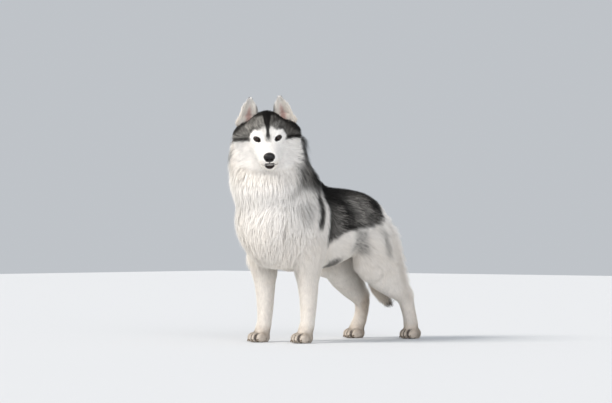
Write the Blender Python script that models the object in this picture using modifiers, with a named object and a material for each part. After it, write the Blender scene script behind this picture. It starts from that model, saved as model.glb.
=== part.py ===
"""Siberian husky, life size and standing, with its head turned to its left.

The dog faces -Y, its left side is +X and the floor is z = 0. Lengths are metres.
"""
import math
import random

import bmesh
import bpy
from mathutils import Matrix, Vector
from mathutils.bvhtree import BVHTree

# Build settings
GAP = 0.0003
VOXEL = 0.0052
RING_POINTS = 28
BODY_TRIANGLES = 3300

# Place and turn of the head
HEAD_PLACE = Vector((0.052, -0.122, 0.711))
HEAD_TURN = math.radians(42)
HEAD_PITCH = math.radians(20)
HEAD_ROLL = math.radians(-3.5)

# Head details, in the head's own space: x left, y back, z up
EYE_RADIUS = 0.0135
EYE_PLACE = Vector((0.0372, -0.0300, 0.0145))
NOSE_PLACE = Vector((0, -0.1420, -0.0085))
NOSE_REACH = Vector((0.0200, 0.0135, 0.0140))
MOUTH_FRONT = Vector((0, -0.1500, -0.0370))
MOUTH_CORNER = Vector((0, -0.0540, -0.0440))
CHEEK_PLACE = Vector((0.0580, 0.0200, -0.0380))
CHEEK_REACH = Vector((0.0480, 0.0500, 0.0500))
EAR_BASE = Vector((0.0690, 0.0480, 0.0560))
EAR_BASE_REACH = Vector((0.0310, 0.0260, 0.0320))
EAR_ROOT = Vector((0.0600, 0.0450, 0.0620))
EAR_HEIGHT = 0.089
EAR_WIDTH = 0.084
EAR_DEPTH = 0.026

# Places of the four paws on the floor, with how far each leg is set back
FRONT_LEFT = Vector((0.090, 0.024, 0))
FRONT_RIGHT = Vector((-0.090, -0.005, 0))
HIND_LEFT = Vector((0.095, 0.612, 0))
HIND_RIGHT = Vector((-0.090, 0.510, 0))
PAW_WIDTH = 0.063
PAW_LENGTH = 0.082
PAW_HEIGHT = 0.042
CLAW_LENGTH = 0.019
CLAW_RADIUS = 0.0040
# Where the neck piece ends above the chest, and the slope of that cut
NECK_CUT = Vector((0, -0.030, 0.548))
NECK_CUT_SLOPE = 0.20
# The flat inner side of the thighs, and the front of the tail between them
THIGH_INNER = 0.0415
TAIL_FRONT = 0.504
# The stifle, the knee of the hind leg, from the left hind paw
STIFLE = Vector((0, -0.207, 0.247))
STIFLE_REACH = Vector((0.043, 0.050, 0.040))
# How much further back of its paw the joints of the right hind leg are
RIGHT_THIGH_BACK = 0.065

# Trunk stations: y, half width, lowest z, highest z
TRUNK = (
    (-0.158, 0.050, 0.385, 0.480),
    (-0.138, 0.092, 0.335, 0.535),
    (-0.100, 0.125, 0.298, 0.560),
    (-0.035, 0.145, 0.268, 0.578),
    (0.050, 0.147, 0.253, 0.578),
    (0.150, 0.140, 0.255, 0.566),
    (0.250, 0.131, 0.268, 0.552),
    (0.350, 0.118, 0.298, 0.546),
    (0.420, 0.113, 0.320, 0.539),
    (0.470, 0.110, 0.330, 0.526),
    (0.510, 0.098, 0.340, 0.497),
    (0.540, 0.075, 0.355, 0.455),
    (0.560, 0.045, 0.370, 0.420),
)

# Neck and ruff stations: centre x, y, z, half width, half depth, share of the turn
NECK = (
    (0.000, 0.055, 0.450, 0.122, 0.135, 0.0),
    (-0.002, -0.010, 0.520, 0.145, 0.165, 0.0),
    (-0.004, -0.041, 0.580, 0.147, 0.156, 0.2),
    (-0.006, -0.052, 0.650, 0.142, 0.122, 0.8),
    (-0.015, -0.044, 0.710, 0.133, 0.100, 1.0),
    (-0.024, -0.048, 0.752, 0.109, 0.085, 1.0),
    (-0.024, -0.052, 0.778, 0.060, 0.050, 1.0),
)

# Skull and muzzle stations in head space: y, half width, lowest z, highest z
SKULL = (
    (0.108, 0.040, 0.005, 0.060),
    (0.090, 0.070, -0.030, 0.084),
    (0.060, 0.088, -0.052, 0.098),
    (0.030, 0.090, -0.064, 0.099),
    (0.002, 0.084, -0.070, 0.088),
    (-0.018, 0.073, -0.072, 0.068),
    (-0.036, 0.057, -0.072, 0.040),
    (-0.054, 0.047, -0.071, 0.024),
    (-0.080, 0.040, -0.069, 0.015),
    (-0.108, 0.036, -0.068, 0.009),
    (-0.128, 0.034, -0.066, 0.006),
    (-0.141, 0.030, -0.061, 0.003),
    (-0.149, 0.021, -0.052, -0.004),
)

# Leg stations from the trunk down: x and y from the paw, z, half width, half depth
FRONT_LEG = (
    (-0.020, 0.040, 0.470, 0.050, 0.075),
    (-0.008, 0.026, 0.400, 0.058, 0.083),
    (0.000, 0.022, 0.340, 0.058, 0.078),
    (0.000, 0.020, 0.300, 0.053, 0.067),
    (0.000, 0.020, 0.258, 0.042, 0.049),
    (0.000, 0.023, 0.210, 0.035, 0.039),
    (0.000, 0.025, 0.160, 0.030, 0.033),
    (0.000, 0.024, 0.115, 0.027, 0.029),
    (0.000, 0.021, 0.075, 0.024, 0.026),
    (0.000, 0.012, 0.045, 0.025, 0.028),
    (0.000, 0.004, 0.025, 0.026, 0.029),
)
# The left hind leg is stretched back
HIND_LEFT_LEG = (
    (-0.040, -0.182, 0.470, 0.035, 0.035),
    (-0.028, -0.185, 0.445, 0.050, 0.055),
    (-0.020, -0.164, 0.400, 0.058, 0.090),
    (-0.015, -0.160, 0.360, 0.060, 0.104),
    (-0.010, -0.160, 0.300, 0.055, 0.110),
    (-0.003, -0.123, 0.245, 0.047, 0.080),
    (0.000, -0.087, 0.198, 0.038, 0.055),
    (0.000, -0.053, 0.168, 0.029, 0.039),
    (0.000, -0.034, 0.142, 0.025, 0.031),
    (0.000, -0.021, 0.105, 0.022, 0.028),
    (0.000, -0.011, 0.075, 0.022, 0.027),
    (0.000, -0.006, 0.045, 0.024, 0.028),
    (0.000, -0.008, 0.025, 0.026, 0.029),
)
# The right hind leg stands further under the body
HIND_RIGHT_LEG = (
    (-0.035, -0.090, 0.470, 0.035, 0.035),
    (-0.023, -0.093, 0.445, 0.050, 0.055),
    (-0.015, -0.095, 0.400, 0.058, 0.090),
    (-0.010, -0.100, 0.360, 0.060, 0.104),
    (-0.006, -0.092, 0.300, 0.054, 0.110),
    (-0.002, -0.052, 0.238, 0.046, 0.080),
    (0.000, -0.012, 0.190, 0.036, 0.055),
    (0.000, 0.018, 0.160, 0.029, 0.040),
    (0.000, 0.037, 0.132, 0.025, 0.031),
    (0.000, 0.034, 0.100, 0.022, 0.027),
    (0.000, 0.024, 0.070, 0.022, 0.026),
    (0.000, 0.010, 0.045, 0.024, 0.028),
    (0.000, 0.000, 0.025, 0.026, 0.029),
)

# Tail stations: y, z, half width, half depth; it hangs in the middle plane
TAIL = (
    (0.500, 0.450, 0.028, 0.028),
    (0.530, 0.430, 0.036, 0.036),
    (0.553, 0.385, 0.041, 0.046),
    (0.557, 0.315, 0.042, 0.053),
    (0.548, 0.245, 0.040, 0.050),
    (0.558, 0.185, 0.034, 0.038),
    (0.584, 0.146, 0.022, 0.022),
    (0.608, 0.128, 0.008, 0.008),
)

# How far the core of the long coat lies inside its tips, and the random seed
CORE_INSET = 0.022
LOCK_SEED = 7
# How far a lock may stand free of the core where the body falls away
FREE_REACH = 0.006
# Least height of a lock over the skin where the long coat ends
LEAST_LIFT = 0.009
# Share of the triangles kept after the locks are joined
KEPT_SHARE = 0.78
# Locks: name, length, half width, thickness, spacing, lie of the coat
LOCKS = {
    "ruff": (0.114, 0.0250, 0.0130, 0.060, (0, 0.40, -1)),
    "chest": (0.110, 0.0230, 0.0130, 0.055, (0, 0.05, -1)),
    "cheek": (0.066, 0.0160, 0.0100, 0.036, (0, 0.60, -0.60)),
    "breeches": (0.082, 0.0175, 0.0110, 0.043, (0, 0.45, -1)),
    "tail": (0.090, 0.0175, 0.0110, 0.044, (0, 0.05, -1)),
    "belly": (0.060, 0.0160, 0.0080, 0.055, (0, 0.90, -0.50)),
}

# Below this height the tail ends in its own point and takes no more locks
TAIL_TIP_CLEAR = 0.175

# Colours as red, green, blue, with roughness
COAT_BLACK = (0.020, 0.019, 0.018, 0.75)
COAT_GREY = (0.150, 0.135, 0.120, 0.80)
COAT_CREAM = (0.680, 0.640, 0.570, 0.85)
COAT_WHITE = (0.800, 0.785, 0.750, 0.85)
PAW_TAN = (0.420, 0.330, 0.240, 0.80)
EYE_BROWN = (0.020, 0.008, 0.003, 0.05)
NOSE_BLACK = (0.006, 0.006, 0.006, 0.35)
CLAW_DARK = (0.030, 0.024, 0.020, 0.40)


def clear_scene():
    """Remove whatever the scene starts with."""
    for obj in list(bpy.data.objects):
        bpy.data.objects.remove(obj)
    for collection in list(bpy.data.collections):
        bpy.data.collections.remove(collection)


def make_collection(name, hidden=False):
    """A collection of this name under the scene."""
    collection = bpy.data.collections.new(name)
    collection.hide_render = hidden
    bpy.context.scene.collection.children.link(collection)
    return collection


def make_material(name, look):
    """A Principled material from red, green, blue and roughness."""
    material = bpy.data.materials.new(name)
    material.use_nodes = True
    shader = material.node_tree.nodes["Principled BSDF"]
    shader.inputs["Base Color"].default_value = (*look[:3], 1)
    shader.inputs["Roughness"].default_value = look[3]
    shader.inputs["Metallic"].default_value = 0
    material.diffuse_color = (*look[:3], 1)
    return material


def put(name, mesh, collection):
    """A new object of this mesh in the collection."""
    obj = bpy.data.objects.new(name, mesh)
    collection.objects.link(obj)
    if collection.hide_render:
        obj.hide_render = True
        obj.display_type = "WIRE"
    return obj


def finish(name, bm, collection):
    """Turn the bmesh into an object with its faces pointing outward."""
    bmesh.ops.recalc_face_normals(bm, faces=bm.faces[:])
    if bm.calc_volume(signed=True) < 0:
        bmesh.ops.reverse_faces(bm, faces=bm.faces[:])
    mesh = bpy.data.meshes.new(name)
    bm.to_mesh(mesh)
    bm.free()
    return put(name, mesh, collection)


def add_ring(bm, centre, across, rise, half_width, below, above):
    """One ring of a loft; across and rise are unit directions in its plane."""
    made = bmesh.ops.create_circle(bm, segments=RING_POINTS, radius=1)
    for vert in made["verts"]:
        side, up = vert.co.x, vert.co.y
        reach = above if up > 0 else below
        vert.co = centre + across * side * half_width + rise * up * reach
    return list({edge for vert in made["verts"] for edge in vert.link_edges})


def loft(name, rings, collection, place=None):
    """A closed body through rings of (centre, across, rise, width, below, above)."""
    bm = bmesh.new()
    edges = [add_ring(bm, *ring) for ring in rings]
    for first, second in zip(edges, edges[1:]):
        bmesh.ops.bridge_loops(bm, edges=first + second)
    bmesh.ops.holes_fill(bm, edges=edges[0] + edges[-1], sides=0)
    if place is not None:
        bmesh.ops.transform(bm, matrix=place, verts=bm.verts[:])
    return finish(name, bm, collection)


def long_rings(stations):
    """Upright rings along Y from (y, half width, lowest z, highest z)."""
    rings = []
    for y, width, low, high in stations:
        middle = low + 0.52 * (high - low)
        centre = Vector((0, y, middle))
        ring = (centre, Vector((1, 0, 0)), Vector((0, 0, 1)), width)
        rings.append((*ring, middle - low, high - middle))
    return rings


def path_rings(points, sizes):
    """Rings square to a path; sizes are (half width, half depth, turn if any)."""
    rings = []
    for i, point in enumerate(points):
        before = points[max(i - 1, 0)]
        after = points[min(i + 1, len(points) - 1)]
        along = (after - before).normalized()
        width, depth, turn = (*sizes[i], 0)[:3]
        across = Vector((math.cos(turn), math.sin(turn), 0))
        rise = across.cross(along).normalized()
        rings.append((point, across, rise, width, depth, depth))
    return rings


def head_space():
    """The matrix that carries head space to the world."""
    turn = Matrix.Rotation(HEAD_TURN, 4, "Z")
    roll = Matrix.Rotation(HEAD_ROLL, 4, "Y")
    pitch = Matrix.Rotation(HEAD_PITCH, 4, "X")
    return Matrix.Translation(HEAD_PLACE) @ turn @ roll @ pitch


def add_ball(bm, centre, reach, turn=None, detail=2):
    """An ellipsoid of these reaches added to the bmesh."""
    place = Matrix.Translation(centre) @ (turn or Matrix.Identity(4))
    matrix = place @ Matrix.Diagonal((*reach, 1))
    bmesh.ops.create_icosphere(bm, subdivisions=detail, radius=1, matrix=matrix)


def leg_rings(stations, paw):
    """Rings of a leg above its paw, mirrored for the right side."""
    side = 1 if paw.x > 0 else -1
    points, sizes = [], []
    for x, y, z, width, depth in stations:
        points.append(Vector((paw.x + side * x, paw.y + y, z)))
        sizes.append((width, depth))
    return path_rings(points, sizes)


def toe_places(paw):
    """Centre and length of each of the four toes, from the outside in."""
    toes = []
    for i in range(4):
        across = (i - 1.5) * PAW_WIDTH * 0.245
        outer = abs(i - 1.5) > 1
        ahead = -PAW_LENGTH * (0.21 if outer else 0.32)
        toes.append((paw + Vector((across, ahead, 0.0165)), outer))
    return toes


def make_paw(name, paw, collection):
    """A paw of a pad body and four toes; it reaches below the floor for the cut."""
    bm = bmesh.new()
    body = Vector((PAW_WIDTH * 0.44, PAW_LENGTH * 0.42, PAW_HEIGHT * 0.62))
    add_ball(bm, paw + Vector((0, 0.004, 0.018)), body, detail=3)
    for place, outer in toe_places(paw):
        reach = Vector((0.0112, 0.024 if outer else 0.026, 0.0190))
        add_ball(bm, place, reach, detail=3)
    return finish(name, bm, collection)


def make_cheeks(name, helpers):
    """The full cheeks beside the jaw and the muscle under each ear."""
    bm = bmesh.new()
    for side in (-1, 1):
        for place, reach in ((CHEEK_PLACE, CHEEK_REACH), (EAR_BASE, EAR_BASE_REACH)):
            spot = Vector((place.x * side, place.y, place.z))
            add_ball(bm, spot, reach, detail=3)
    bmesh.ops.transform(bm, matrix=head_space(), verts=bm.verts[:])
    return finish(name, bm, helpers)


def make_body_forms(helpers):
    """Every plain form of the body, overlapping, before they become one."""
    forms = [loft("trunk_form", long_rings(TRUNK), helpers)]
    points = [Vector(station[:3]) for station in NECK]
    sizes = [(wide, deep, turn * HEAD_TURN) for *_, wide, deep, turn in NECK]
    forms.append(loft("neck_form", path_rings(points, sizes), helpers))
    forms.append(loft("skull_form", long_rings(SKULL), helpers, head_space()))
    forms.append(make_cheeks("cheek_form", helpers))
    legs = (
        ("front_left", FRONT_LEG, FRONT_LEFT),
        ("front_right", FRONT_LEG, FRONT_RIGHT),
        ("hind_left", HIND_LEFT_LEG, HIND_LEFT),
        ("hind_right", HIND_RIGHT_LEG, HIND_RIGHT),
    )
    for name, stations, paw in legs:
        rings = leg_rings(stations, paw)
        forms.append(loft(name + "_form", rings, helpers))
        forms.append(make_paw(name + "_paw_form", paw, helpers))
        if stations is not FRONT_LEG:
            back = 0 if stations is HIND_LEFT_LEG else RIGHT_THIGH_BACK * 0.8
            bm = bmesh.new()
            add_ball(bm, paw + STIFLE + Vector((0, back, 0)), STIFLE_REACH, detail=3)
            forms.append(finish(name + "_stifle_form", bm, helpers))
    points = [Vector((0, y, z)) for y, z, _, _ in TAIL]
    sizes = [station[2:] for station in TAIL]
    forms.append(loft("tail_form", path_rings(points, sizes), helpers))
    return forms


def apply_modifiers(obj):
    """Bake the object's modifiers into its mesh."""
    graph = bpy.context.evaluated_depsgraph_get()
    mesh = bpy.data.meshes.new_from_object(obj.evaluated_get(graph))
    obj.modifiers.clear()
    obj.data = mesh
    return obj


def fuse(name, forms, triangles, collection, smooth=6):
    """One closed skin round all the forms, evened out and thinned."""
    bm = bmesh.new()
    for form in forms:
        bm.from_mesh(form.data)
        bpy.data.objects.remove(form)
    obj = finish(name, bm, collection)
    remesh = obj.modifiers.new("one skin", "REMESH")
    remesh.mode = "VOXEL"
    remesh.voxel_size = VOXEL
    soften = obj.modifiers.new("soften", "SMOOTH")
    soften.factor = 0.5
    soften.iterations = smooth
    apply_modifiers(obj)
    obj.data.calc_loop_triangles()
    thin = obj.modifiers.new("thin", "DECIMATE")
    thin.ratio = triangles / len(obj.data.loop_triangles)
    thin.use_collapse_triangulate = True
    return apply_modifiers(obj)


def ramp(value, start, end):
    """0 at start, 1 at end, straight in between and level outside."""
    return min(max((value - start) / (end - start), 0), 1)


def coat_shares(p):
    """How much each kind of long coat covers this point, 0 to 1."""
    q = head_space().inverted() @ p
    near_face = ramp(q.y, 0.060, 0.020) * ramp(q.z, -0.092, -0.074)
    crown = ramp(q.z, 0.030, 0.055) * ramp(q.y, 0.150, 0.120)
    bare_head = max(near_face, crown) * ramp(q.length, 0.24, 0.20)
    neck = ramp(p.z, 0.43, 0.50) * ramp(p.y, 0.17, 0.08) * (1 - bare_head)
    chest = ramp(p.y, 0.02, -0.05) * ramp(p.z, 0.285, 0.335) * ramp(p.z, 0.54, 0.50)
    side = abs(q.x)
    cheek = ramp(side, 0.060, 0.075) * ramp(q.z, 0.020, -0.010) * ramp(q.y, -0.030, 0.0)
    cheek *= near_face * ramp(q.length, 0.17, 0.15)
    breeches = ramp(p.y, 0.475, 0.515) * ramp(abs(p.x), 0.032, 0.046)
    breeches *= ramp(p.z, 0.165, 0.205) * ramp(p.z, 0.450, 0.420)
    tail = ramp(abs(p.x), 0.052, 0.044) * ramp(p.y, 0.500, 0.520) * ramp(p.z, 0.455, 0.42)
    belly = ramp(p.z, 0.32, 0.29) * ramp(p.y, 0.09, 0.12) * ramp(p.y, 0.33, 0.30)
    belly *= ramp(abs(p.x), 0.10, 0.07)
    return {
        "ruff": neck, "chest": chest, "cheek": cheek,
        "breeches": breeches, "tail": tail, "belly": belly,
    }


def core_depth(p):
    """How far the core is drawn in under the long coat at this point."""
    shares = coat_shares(p)
    thin = 0.45 * max(shares["cheek"], shares["belly"])
    nape = 1 - 0.75 * ramp(p.z, 0.66, 0.71)
    above_cut = abs(p.z - NECK_CUT.z - NECK_CUT_SLOPE * (p.y - NECK_CUT.y))
    seam = 0.25 + 0.75 * ramp(above_cut, 0.010, 0.035)
    full = max(shares["ruff"] * nape, shares["chest"], shares["breeches"])
    return CORE_INSET * max(thin, full * seam, 0.75 * shares["tail"])


def draw_in(body):
    """Pull the long-coated surface in, so that the locks reach the outline."""
    bm = bmesh.new()
    bm.from_mesh(body.data)
    bm.normal_update()
    moves = [(vert, vert.normal * core_depth(vert.co)) for vert in bm.verts]
    for vert, move in moves:
        vert.co -= move
    bm.to_mesh(body.data)
    bm.free()


def lie_of_coat(kind, p, normal):
    """The direction in which the hairs of this kind lie at this point."""
    lie = Vector(LOCKS[kind][4])
    lie += Vector((0, 1.2 * ramp(normal.z, 0.2, 0.8), 0))
    side = 1 if p.x > 0 else -1
    if kind == "chest":
        lie += Vector((-0.9 * p.x / 0.14, 0, 0))
    if kind == "ruff" and p.y < -0.06:
        lie = Vector((0, 0.05, -1))
    if kind == "cheek":
        q = head_space().inverted() @ p
        turn = head_space().to_3x3()
        lie = turn @ Vector((0.8 if q.x > 0 else -0.8, 0.75, -0.65))
    if kind == "breeches":
        lie += Vector((0.10 * side, 0, 0))
    if kind == "tail":
        lie += Vector((-6 * p.x, 0.90 * ramp(p.z, 0.24, 0.16), 0))
    return (lie - normal * lie.dot(normal)).normalized()


def lock_path(tree, root, kind, size):
    """Points and normals of a lock that follows the coat's lie over the core."""
    length = LOCKS[kind][0] * size
    rises = (-0.50, 0.30, 0.75, 0.85)
    steps = (0, 0.34, 0.33, 0.33)
    spot, stations = root, []
    for rise, step in zip(rises, steps):
        found, normal, _, _ = tree.find_nearest(spot)
        height = rise * max(core_depth(found), LEAST_LIFT)
        lie = lie_of_coat(kind, found, normal)
        ahead = spot + lie * length * step
        near, near_normal, _, away = tree.find_nearest(ahead)
        free = min(away, FREE_REACH) / max(away, 0.0001)
        spot = near + (ahead - near) * free
        stations.append((spot + near_normal * height, near_normal, lie))
    return stations


def make_lock(tree, root, kind, size, roll, collection):
    """One flat tapered lock of three-sided section."""
    _, half, thick, _, _ = LOCKS[kind]
    widths = (0.60, 1.00, 0.72)
    stations = lock_path(tree, root, kind, size)
    bm = bmesh.new()
    rings = []
    for (point, normal, lie), wide in zip(stations, widths):
        across = lie.cross(normal).normalized()
        across = (across + normal * roll).normalized()
        reach = half * wide * size
        ring = [
            bm.verts.new(point - across * reach - normal * thick * 0.4),
            bm.verts.new(point + normal * thick * 0.6),
            bm.verts.new(point + across * reach - normal * thick * 0.4),
        ]
        rings.append(ring)
    tip = bm.verts.new(stations[-1][0])
    bm.faces.new(rings[0])
    for low, high in zip(rings, rings[1:]):
        for k in range(3):
            n = (k + 1) % 3
            bm.faces.new((low[k], low[n], high[n], high[k]))
    for k in range(3):
        bm.faces.new((rings[-1][k], rings[-1][(k + 1) % 3], tip))
    bmesh.ops.triangulate(bm, faces=bm.faces[:])
    return finish("lock", bm, collection)


def surface_points(body, rng, count):
    """Seeded random points spread over the surface, with their normals."""
    faces = [(f.area, [body.data.vertices[i].co for i in f.vertices], f.normal)
             for f in body.data.polygons]
    weights = [area for area, _, _ in faces]
    for _, corners, normal in rng.choices(faces, weights=weights, k=count):
        a, b = sorted((rng.random(), rng.random()))
        yield corners[0] * a + corners[1] * (b - a) + corners[2] * (1 - b), normal


def add_locks(body, helpers):
    """Cover the long-coated parts of the core with overlapping locks."""
    rng = random.Random(LOCK_SEED)
    tree = BVHTree.FromPolygons(
        [vert.co for vert in body.data.vertices],
        [list(face.vertices) for face in body.data.polygons],
    )
    tufts = make_collection("locks", hidden=True)
    placed = []
    for point, normal in surface_points(body, rng, 26000):
        shares = coat_shares(point)
        kind = max(shares, key=shares.get)
        if shares[kind] < 0.45 or normal.z < -0.80 or point.z < TAIL_TIP_CLEAR:
            continue
        spacing = LOCKS[kind][3]
        if any((point - other).length < 0.5 * (spacing + gap) for other, gap in placed):
            continue
        size = rng.uniform(0.85, 1.12)
        roll = rng.uniform(-0.22, 0.22)
        make_lock(tree, point, kind, size, roll, tufts)
        placed.append((point.copy(), spacing))
    combine(body, tufts, "UNION")
    for obj in list(tufts.objects):
        bpy.data.objects.remove(obj)
    bpy.data.collections.remove(tufts)
    largest_part(body)
    thin = body.modifiers.new("thin", "DECIMATE")
    thin.ratio = KEPT_SHARE
    thin.use_collapse_triangulate = True
    return apply_modifiers(body)


def largest_part(obj):
    """Keep only the largest closed surface of the object."""
    bm = bmesh.new()
    bm.from_mesh(obj.data)
    bmesh.ops.triangulate(bm, faces=bm.faces[:])
    unseen = set(bm.verts)
    groups = []
    while unseen:
        group, front = set(), [unseen.pop()]
        while front:
            vert = front.pop()
            group.add(vert)
            for edge in vert.link_edges:
                other = edge.other_vert(vert)
                if other in unseen:
                    unseen.discard(other)
                    front.append(other)
        groups.append(group)
    groups.sort(key=len)
    loose = [vert for group in groups[:-1] for vert in group]
    bmesh.ops.delete(bm, geom=loose, context="VERTS")
    bm.to_mesh(obj.data)
    bm.free()
    return obj


def combine(obj, other, operation, solver="MANIFOLD"):
    """Apply one Boolean of the other object, or collection of objects, to this one."""
    change = obj.modifiers.new(operation, "BOOLEAN")
    change.operation = operation
    change.solver = solver
    if isinstance(other, bpy.types.Collection):
        change.operand_type = "COLLECTION"
        change.collection = other
    else:
        change.object = other
    return apply_modifiers(obj)


def copy_of(obj, name, collection):
    """A separate copy of the object and its mesh."""
    return put(name, obj.data.copy(), collection)


def cell(name, planes, grow, helpers, space=None):
    """A convex block inside every plane (point, outward direction), grown by a gap."""
    bm = bmesh.new()
    bmesh.ops.create_cube(bm, size=4)
    for point, direction in planes:
        outward = Vector(direction).normalized()
        spot = Vector(point) + outward * grow
        geometry = bm.verts[:] + bm.edges[:] + bm.faces[:]
        bmesh.ops.bisect_plane(
            bm, geom=geometry, plane_co=spot, plane_no=outward, clear_outer=True
        )
        open_edges = [edge for edge in bm.edges if edge.is_boundary]
        bmesh.ops.holes_fill(bm, edges=open_edges, sides=0)
    if space is not None:
        bmesh.ops.transform(bm, matrix=space, verts=bm.verts[:])
    return finish(name, bm, helpers)


def box_planes(low, high):
    """The planes of an upright box; None leaves that side open."""
    planes = []
    for axis in range(3):
        for bound, sign in ((low[axis], -1), (high[axis], 1)):
            if bound is None:
                continue
            point, direction = [0, 0, 0], [0, 0, 0]
            point[axis] = bound
            direction[axis] = sign
            planes.append((point, direction))
    return planes


def cut_off(rest, name, planes, model, helpers, space=None):
    """Take the block's share of the body as a piece; the body keeps the rest."""
    inside = cell(name + "_cell", planes, 0, helpers, space)
    outside = cell(name + "_clear", planes, GAP, helpers, space)
    piece = copy_of(rest, name, model)
    combine(piece, inside, "INTERSECT")
    combine(rest, outside, "DIFFERENCE")
    bpy.data.objects.remove(inside)
    bpy.data.objects.remove(outside)
    return largest_part(piece)


def ear_rings(side):
    """Height by height, a closed ring of the ear's back and its cupped front."""
    lean = Vector((0.02 * side, 0.12, 1)).normalized()
    across = Vector((1, -0.42 * side, 0.10)).normalized()
    forward = across.cross(lean).normalized()
    if forward.y > 0:
        forward.negate()
    rows = 9
    rings = []
    for i in range(rows):
        share = i / (rows - 1)
        height = EAR_HEIGHT * (share * 1.28 - 0.28)
        up = max(height / EAR_HEIGHT, 0)
        half = 0.5 * EAR_WIDTH * (1 - up**1.5) ** 0.72 + 0.003
        if height < 0:
            half *= 1 + 2.2 * height / EAR_HEIGHT
        root = Vector((EAR_ROOT.x * side, EAR_ROOT.y, EAR_ROOT.z))
        centre = root + lean * height - across * side * 0.008 * up
        cup = EAR_DEPTH * (1 - up) ** 0.8 * min(1, 0.35 + 2.2 * up)
        rings.append((centre, across, forward, half, cup, up))
    return rings


def make_ear(side, name, helpers):
    """A pricked ear, cupped in front, with its root sunk in the skull."""
    bm = bmesh.new()
    around = 9
    loops = []
    for centre, across, forward, half, cup, up in ear_rings(side):
        ring = []
        thick = 0.0045 * (1 - up) + 0.0028
        for k in range(around):
            t = 2 * k / (around - 1) - 1
            bend = 0.70 * half * (1 - t * t)
            ring.append(centre + across * half * t - forward * bend)
        for k in range(around - 2, 0, -1):
            t = 2 * k / (around - 1) - 1
            bend = 0.70 * half * (1 - t * t)
            hollow = min(bend, cup) if up > 0.02 else 0
            lip = thick * (1 - t * t) ** 0.4
            full = bend - thick if up > 0.02 else bend * 0.2
            front = min(full, bend - lip) if hollow else bend * 0.2
            ring.append(centre + across * half * t * 0.97 - forward * front)
        loops.append([bm.verts.new(point) for point in ring])
    for low, high in zip(loops, loops[1:]):
        count = len(low)
        for k in range(count):
            after = (k + 1) % count
            bm.faces.new((low[k], low[after], high[after], high[k]))
    bm.faces.new(loops[0])
    bm.faces.new(loops[-1])
    bmesh.ops.transform(bm, matrix=head_space(), verts=bm.verts[:])
    return finish(name, bm, helpers)


def make_nose_form(name, grow, collection):
    """The rounded block of the nose, or with a gap added the cutter of its seat."""
    bm = bmesh.new()
    add_ball(bm, NOSE_PLACE, NOSE_REACH + Vector((grow, grow, grow)), detail=2)
    bmesh.ops.transform(bm, matrix=head_space(), verts=bm.verts[:])
    return finish(name, bm, collection)


def make_nose(name, body, model, helpers):
    """The nose leather with its two nostrils, seated in the muzzle."""
    seat = make_nose_form("nose_seat", GAP, helpers)
    combine(body, seat, "DIFFERENCE")
    bpy.data.objects.remove(seat)
    nose = make_nose_form(name, 0, model)
    for side in (-1, 1):
        bm = bmesh.new()
        spot = NOSE_PLACE + Vector((0.0088 * side, -0.0145, -0.0015))
        turn = Matrix.Rotation(math.radians(28 * side), 4, "Y")
        add_ball(bm, spot, Vector((0.0050, 0.0065, 0.0034)), turn, detail=1)
        bmesh.ops.transform(bm, matrix=head_space(), verts=bm.verts[:])
        hole = finish("nostril_cut", bm, helpers)
        combine(nose, hole, "DIFFERENCE")
        bpy.data.objects.remove(hole)
    return largest_part(nose)


def eye_place(side):
    """The centre of the left (+1) or right (-1) eyeball in head space."""
    return Vector((EYE_PLACE.x * side, EYE_PLACE.y, EYE_PLACE.z))


def lid_path(side, reach, count=12):
    """Points round the almond of the lids, slanting up and outward."""
    slant = Matrix.Rotation(math.radians(-20 * side), 4, "Y")
    out = Matrix.Rotation(math.radians(18 * side), 4, "Z")
    points = []
    for k in range(count):
        angle = 2 * math.pi * k / count
        x = 1.03 * math.cos(angle)
        z = 0.66 * math.sin(angle) * (1 - 0.28 * math.cos(angle) ** 2)
        y = -math.sqrt(max(1.35 - x * x - z * z, 0.05))
        local = Vector((x, y, z)) * reach
        points.append(eye_place(side) + (out @ slant @ local))
    return points


def make_lids(side, name, helpers):
    """A thin almond ring that becomes both lids."""
    bm = bmesh.new()
    path = lid_path(side, EYE_RADIUS)
    count = len(path)
    loops = []
    for k, point in enumerate(path):
        along = (path[(k + 1) % count] - path[k - 1]).normalized()
        outward = (point - eye_place(side)).normalized()
        across = along.cross(outward).normalized()
        loop = []
        for j in range(5):
            angle = 2 * math.pi * j / 5
            spot = across * math.cos(angle) * 0.0034
            spot += outward * math.sin(angle) * 0.0030
            loop.append(bm.verts.new(point + spot))
        loops.append(loop)
    for k, loop in enumerate(loops):
        after = loops[(k + 1) % count]
        for j in range(5):
            n = (j + 1) % 5
            bm.faces.new((loop[j], loop[n], after[n], after[j]))
    bmesh.ops.transform(bm, matrix=head_space(), verts=bm.verts[:])
    return finish(name, bm, helpers)


def make_eye_hole(side, helpers):
    """The almond shaft in front of the eyeball."""
    bm = bmesh.new()
    middle = eye_place(side)
    near, far = [], []
    for point in lid_path(side, EYE_RADIUS):
        away = point - middle
        near.append(bm.verts.new(middle + away * 0.55))
        far.append(bm.verts.new(middle + away * 1.9))
    count = len(near)
    for k in range(count):
        after = (k + 1) % count
        bm.faces.new((near[k], near[after], far[after], far[k]))
    bm.faces.new(near)
    bm.faces.new(far)
    bmesh.ops.triangulate(bm, faces=bm.faces[:])
    bmesh.ops.transform(bm, matrix=head_space(), verts=bm.verts[:])
    return finish("eye_hole", bm, helpers)


def make_ball(name, middle, radius, collection):
    """A round eyeball or the cutter of its socket, placed in head space."""
    bm = bmesh.new()
    add_ball(bm, middle, Vector((radius, radius, radius)), detail=2)
    bmesh.ops.transform(bm, matrix=head_space(), verts=bm.verts[:])
    return finish(name, bm, collection)


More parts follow.
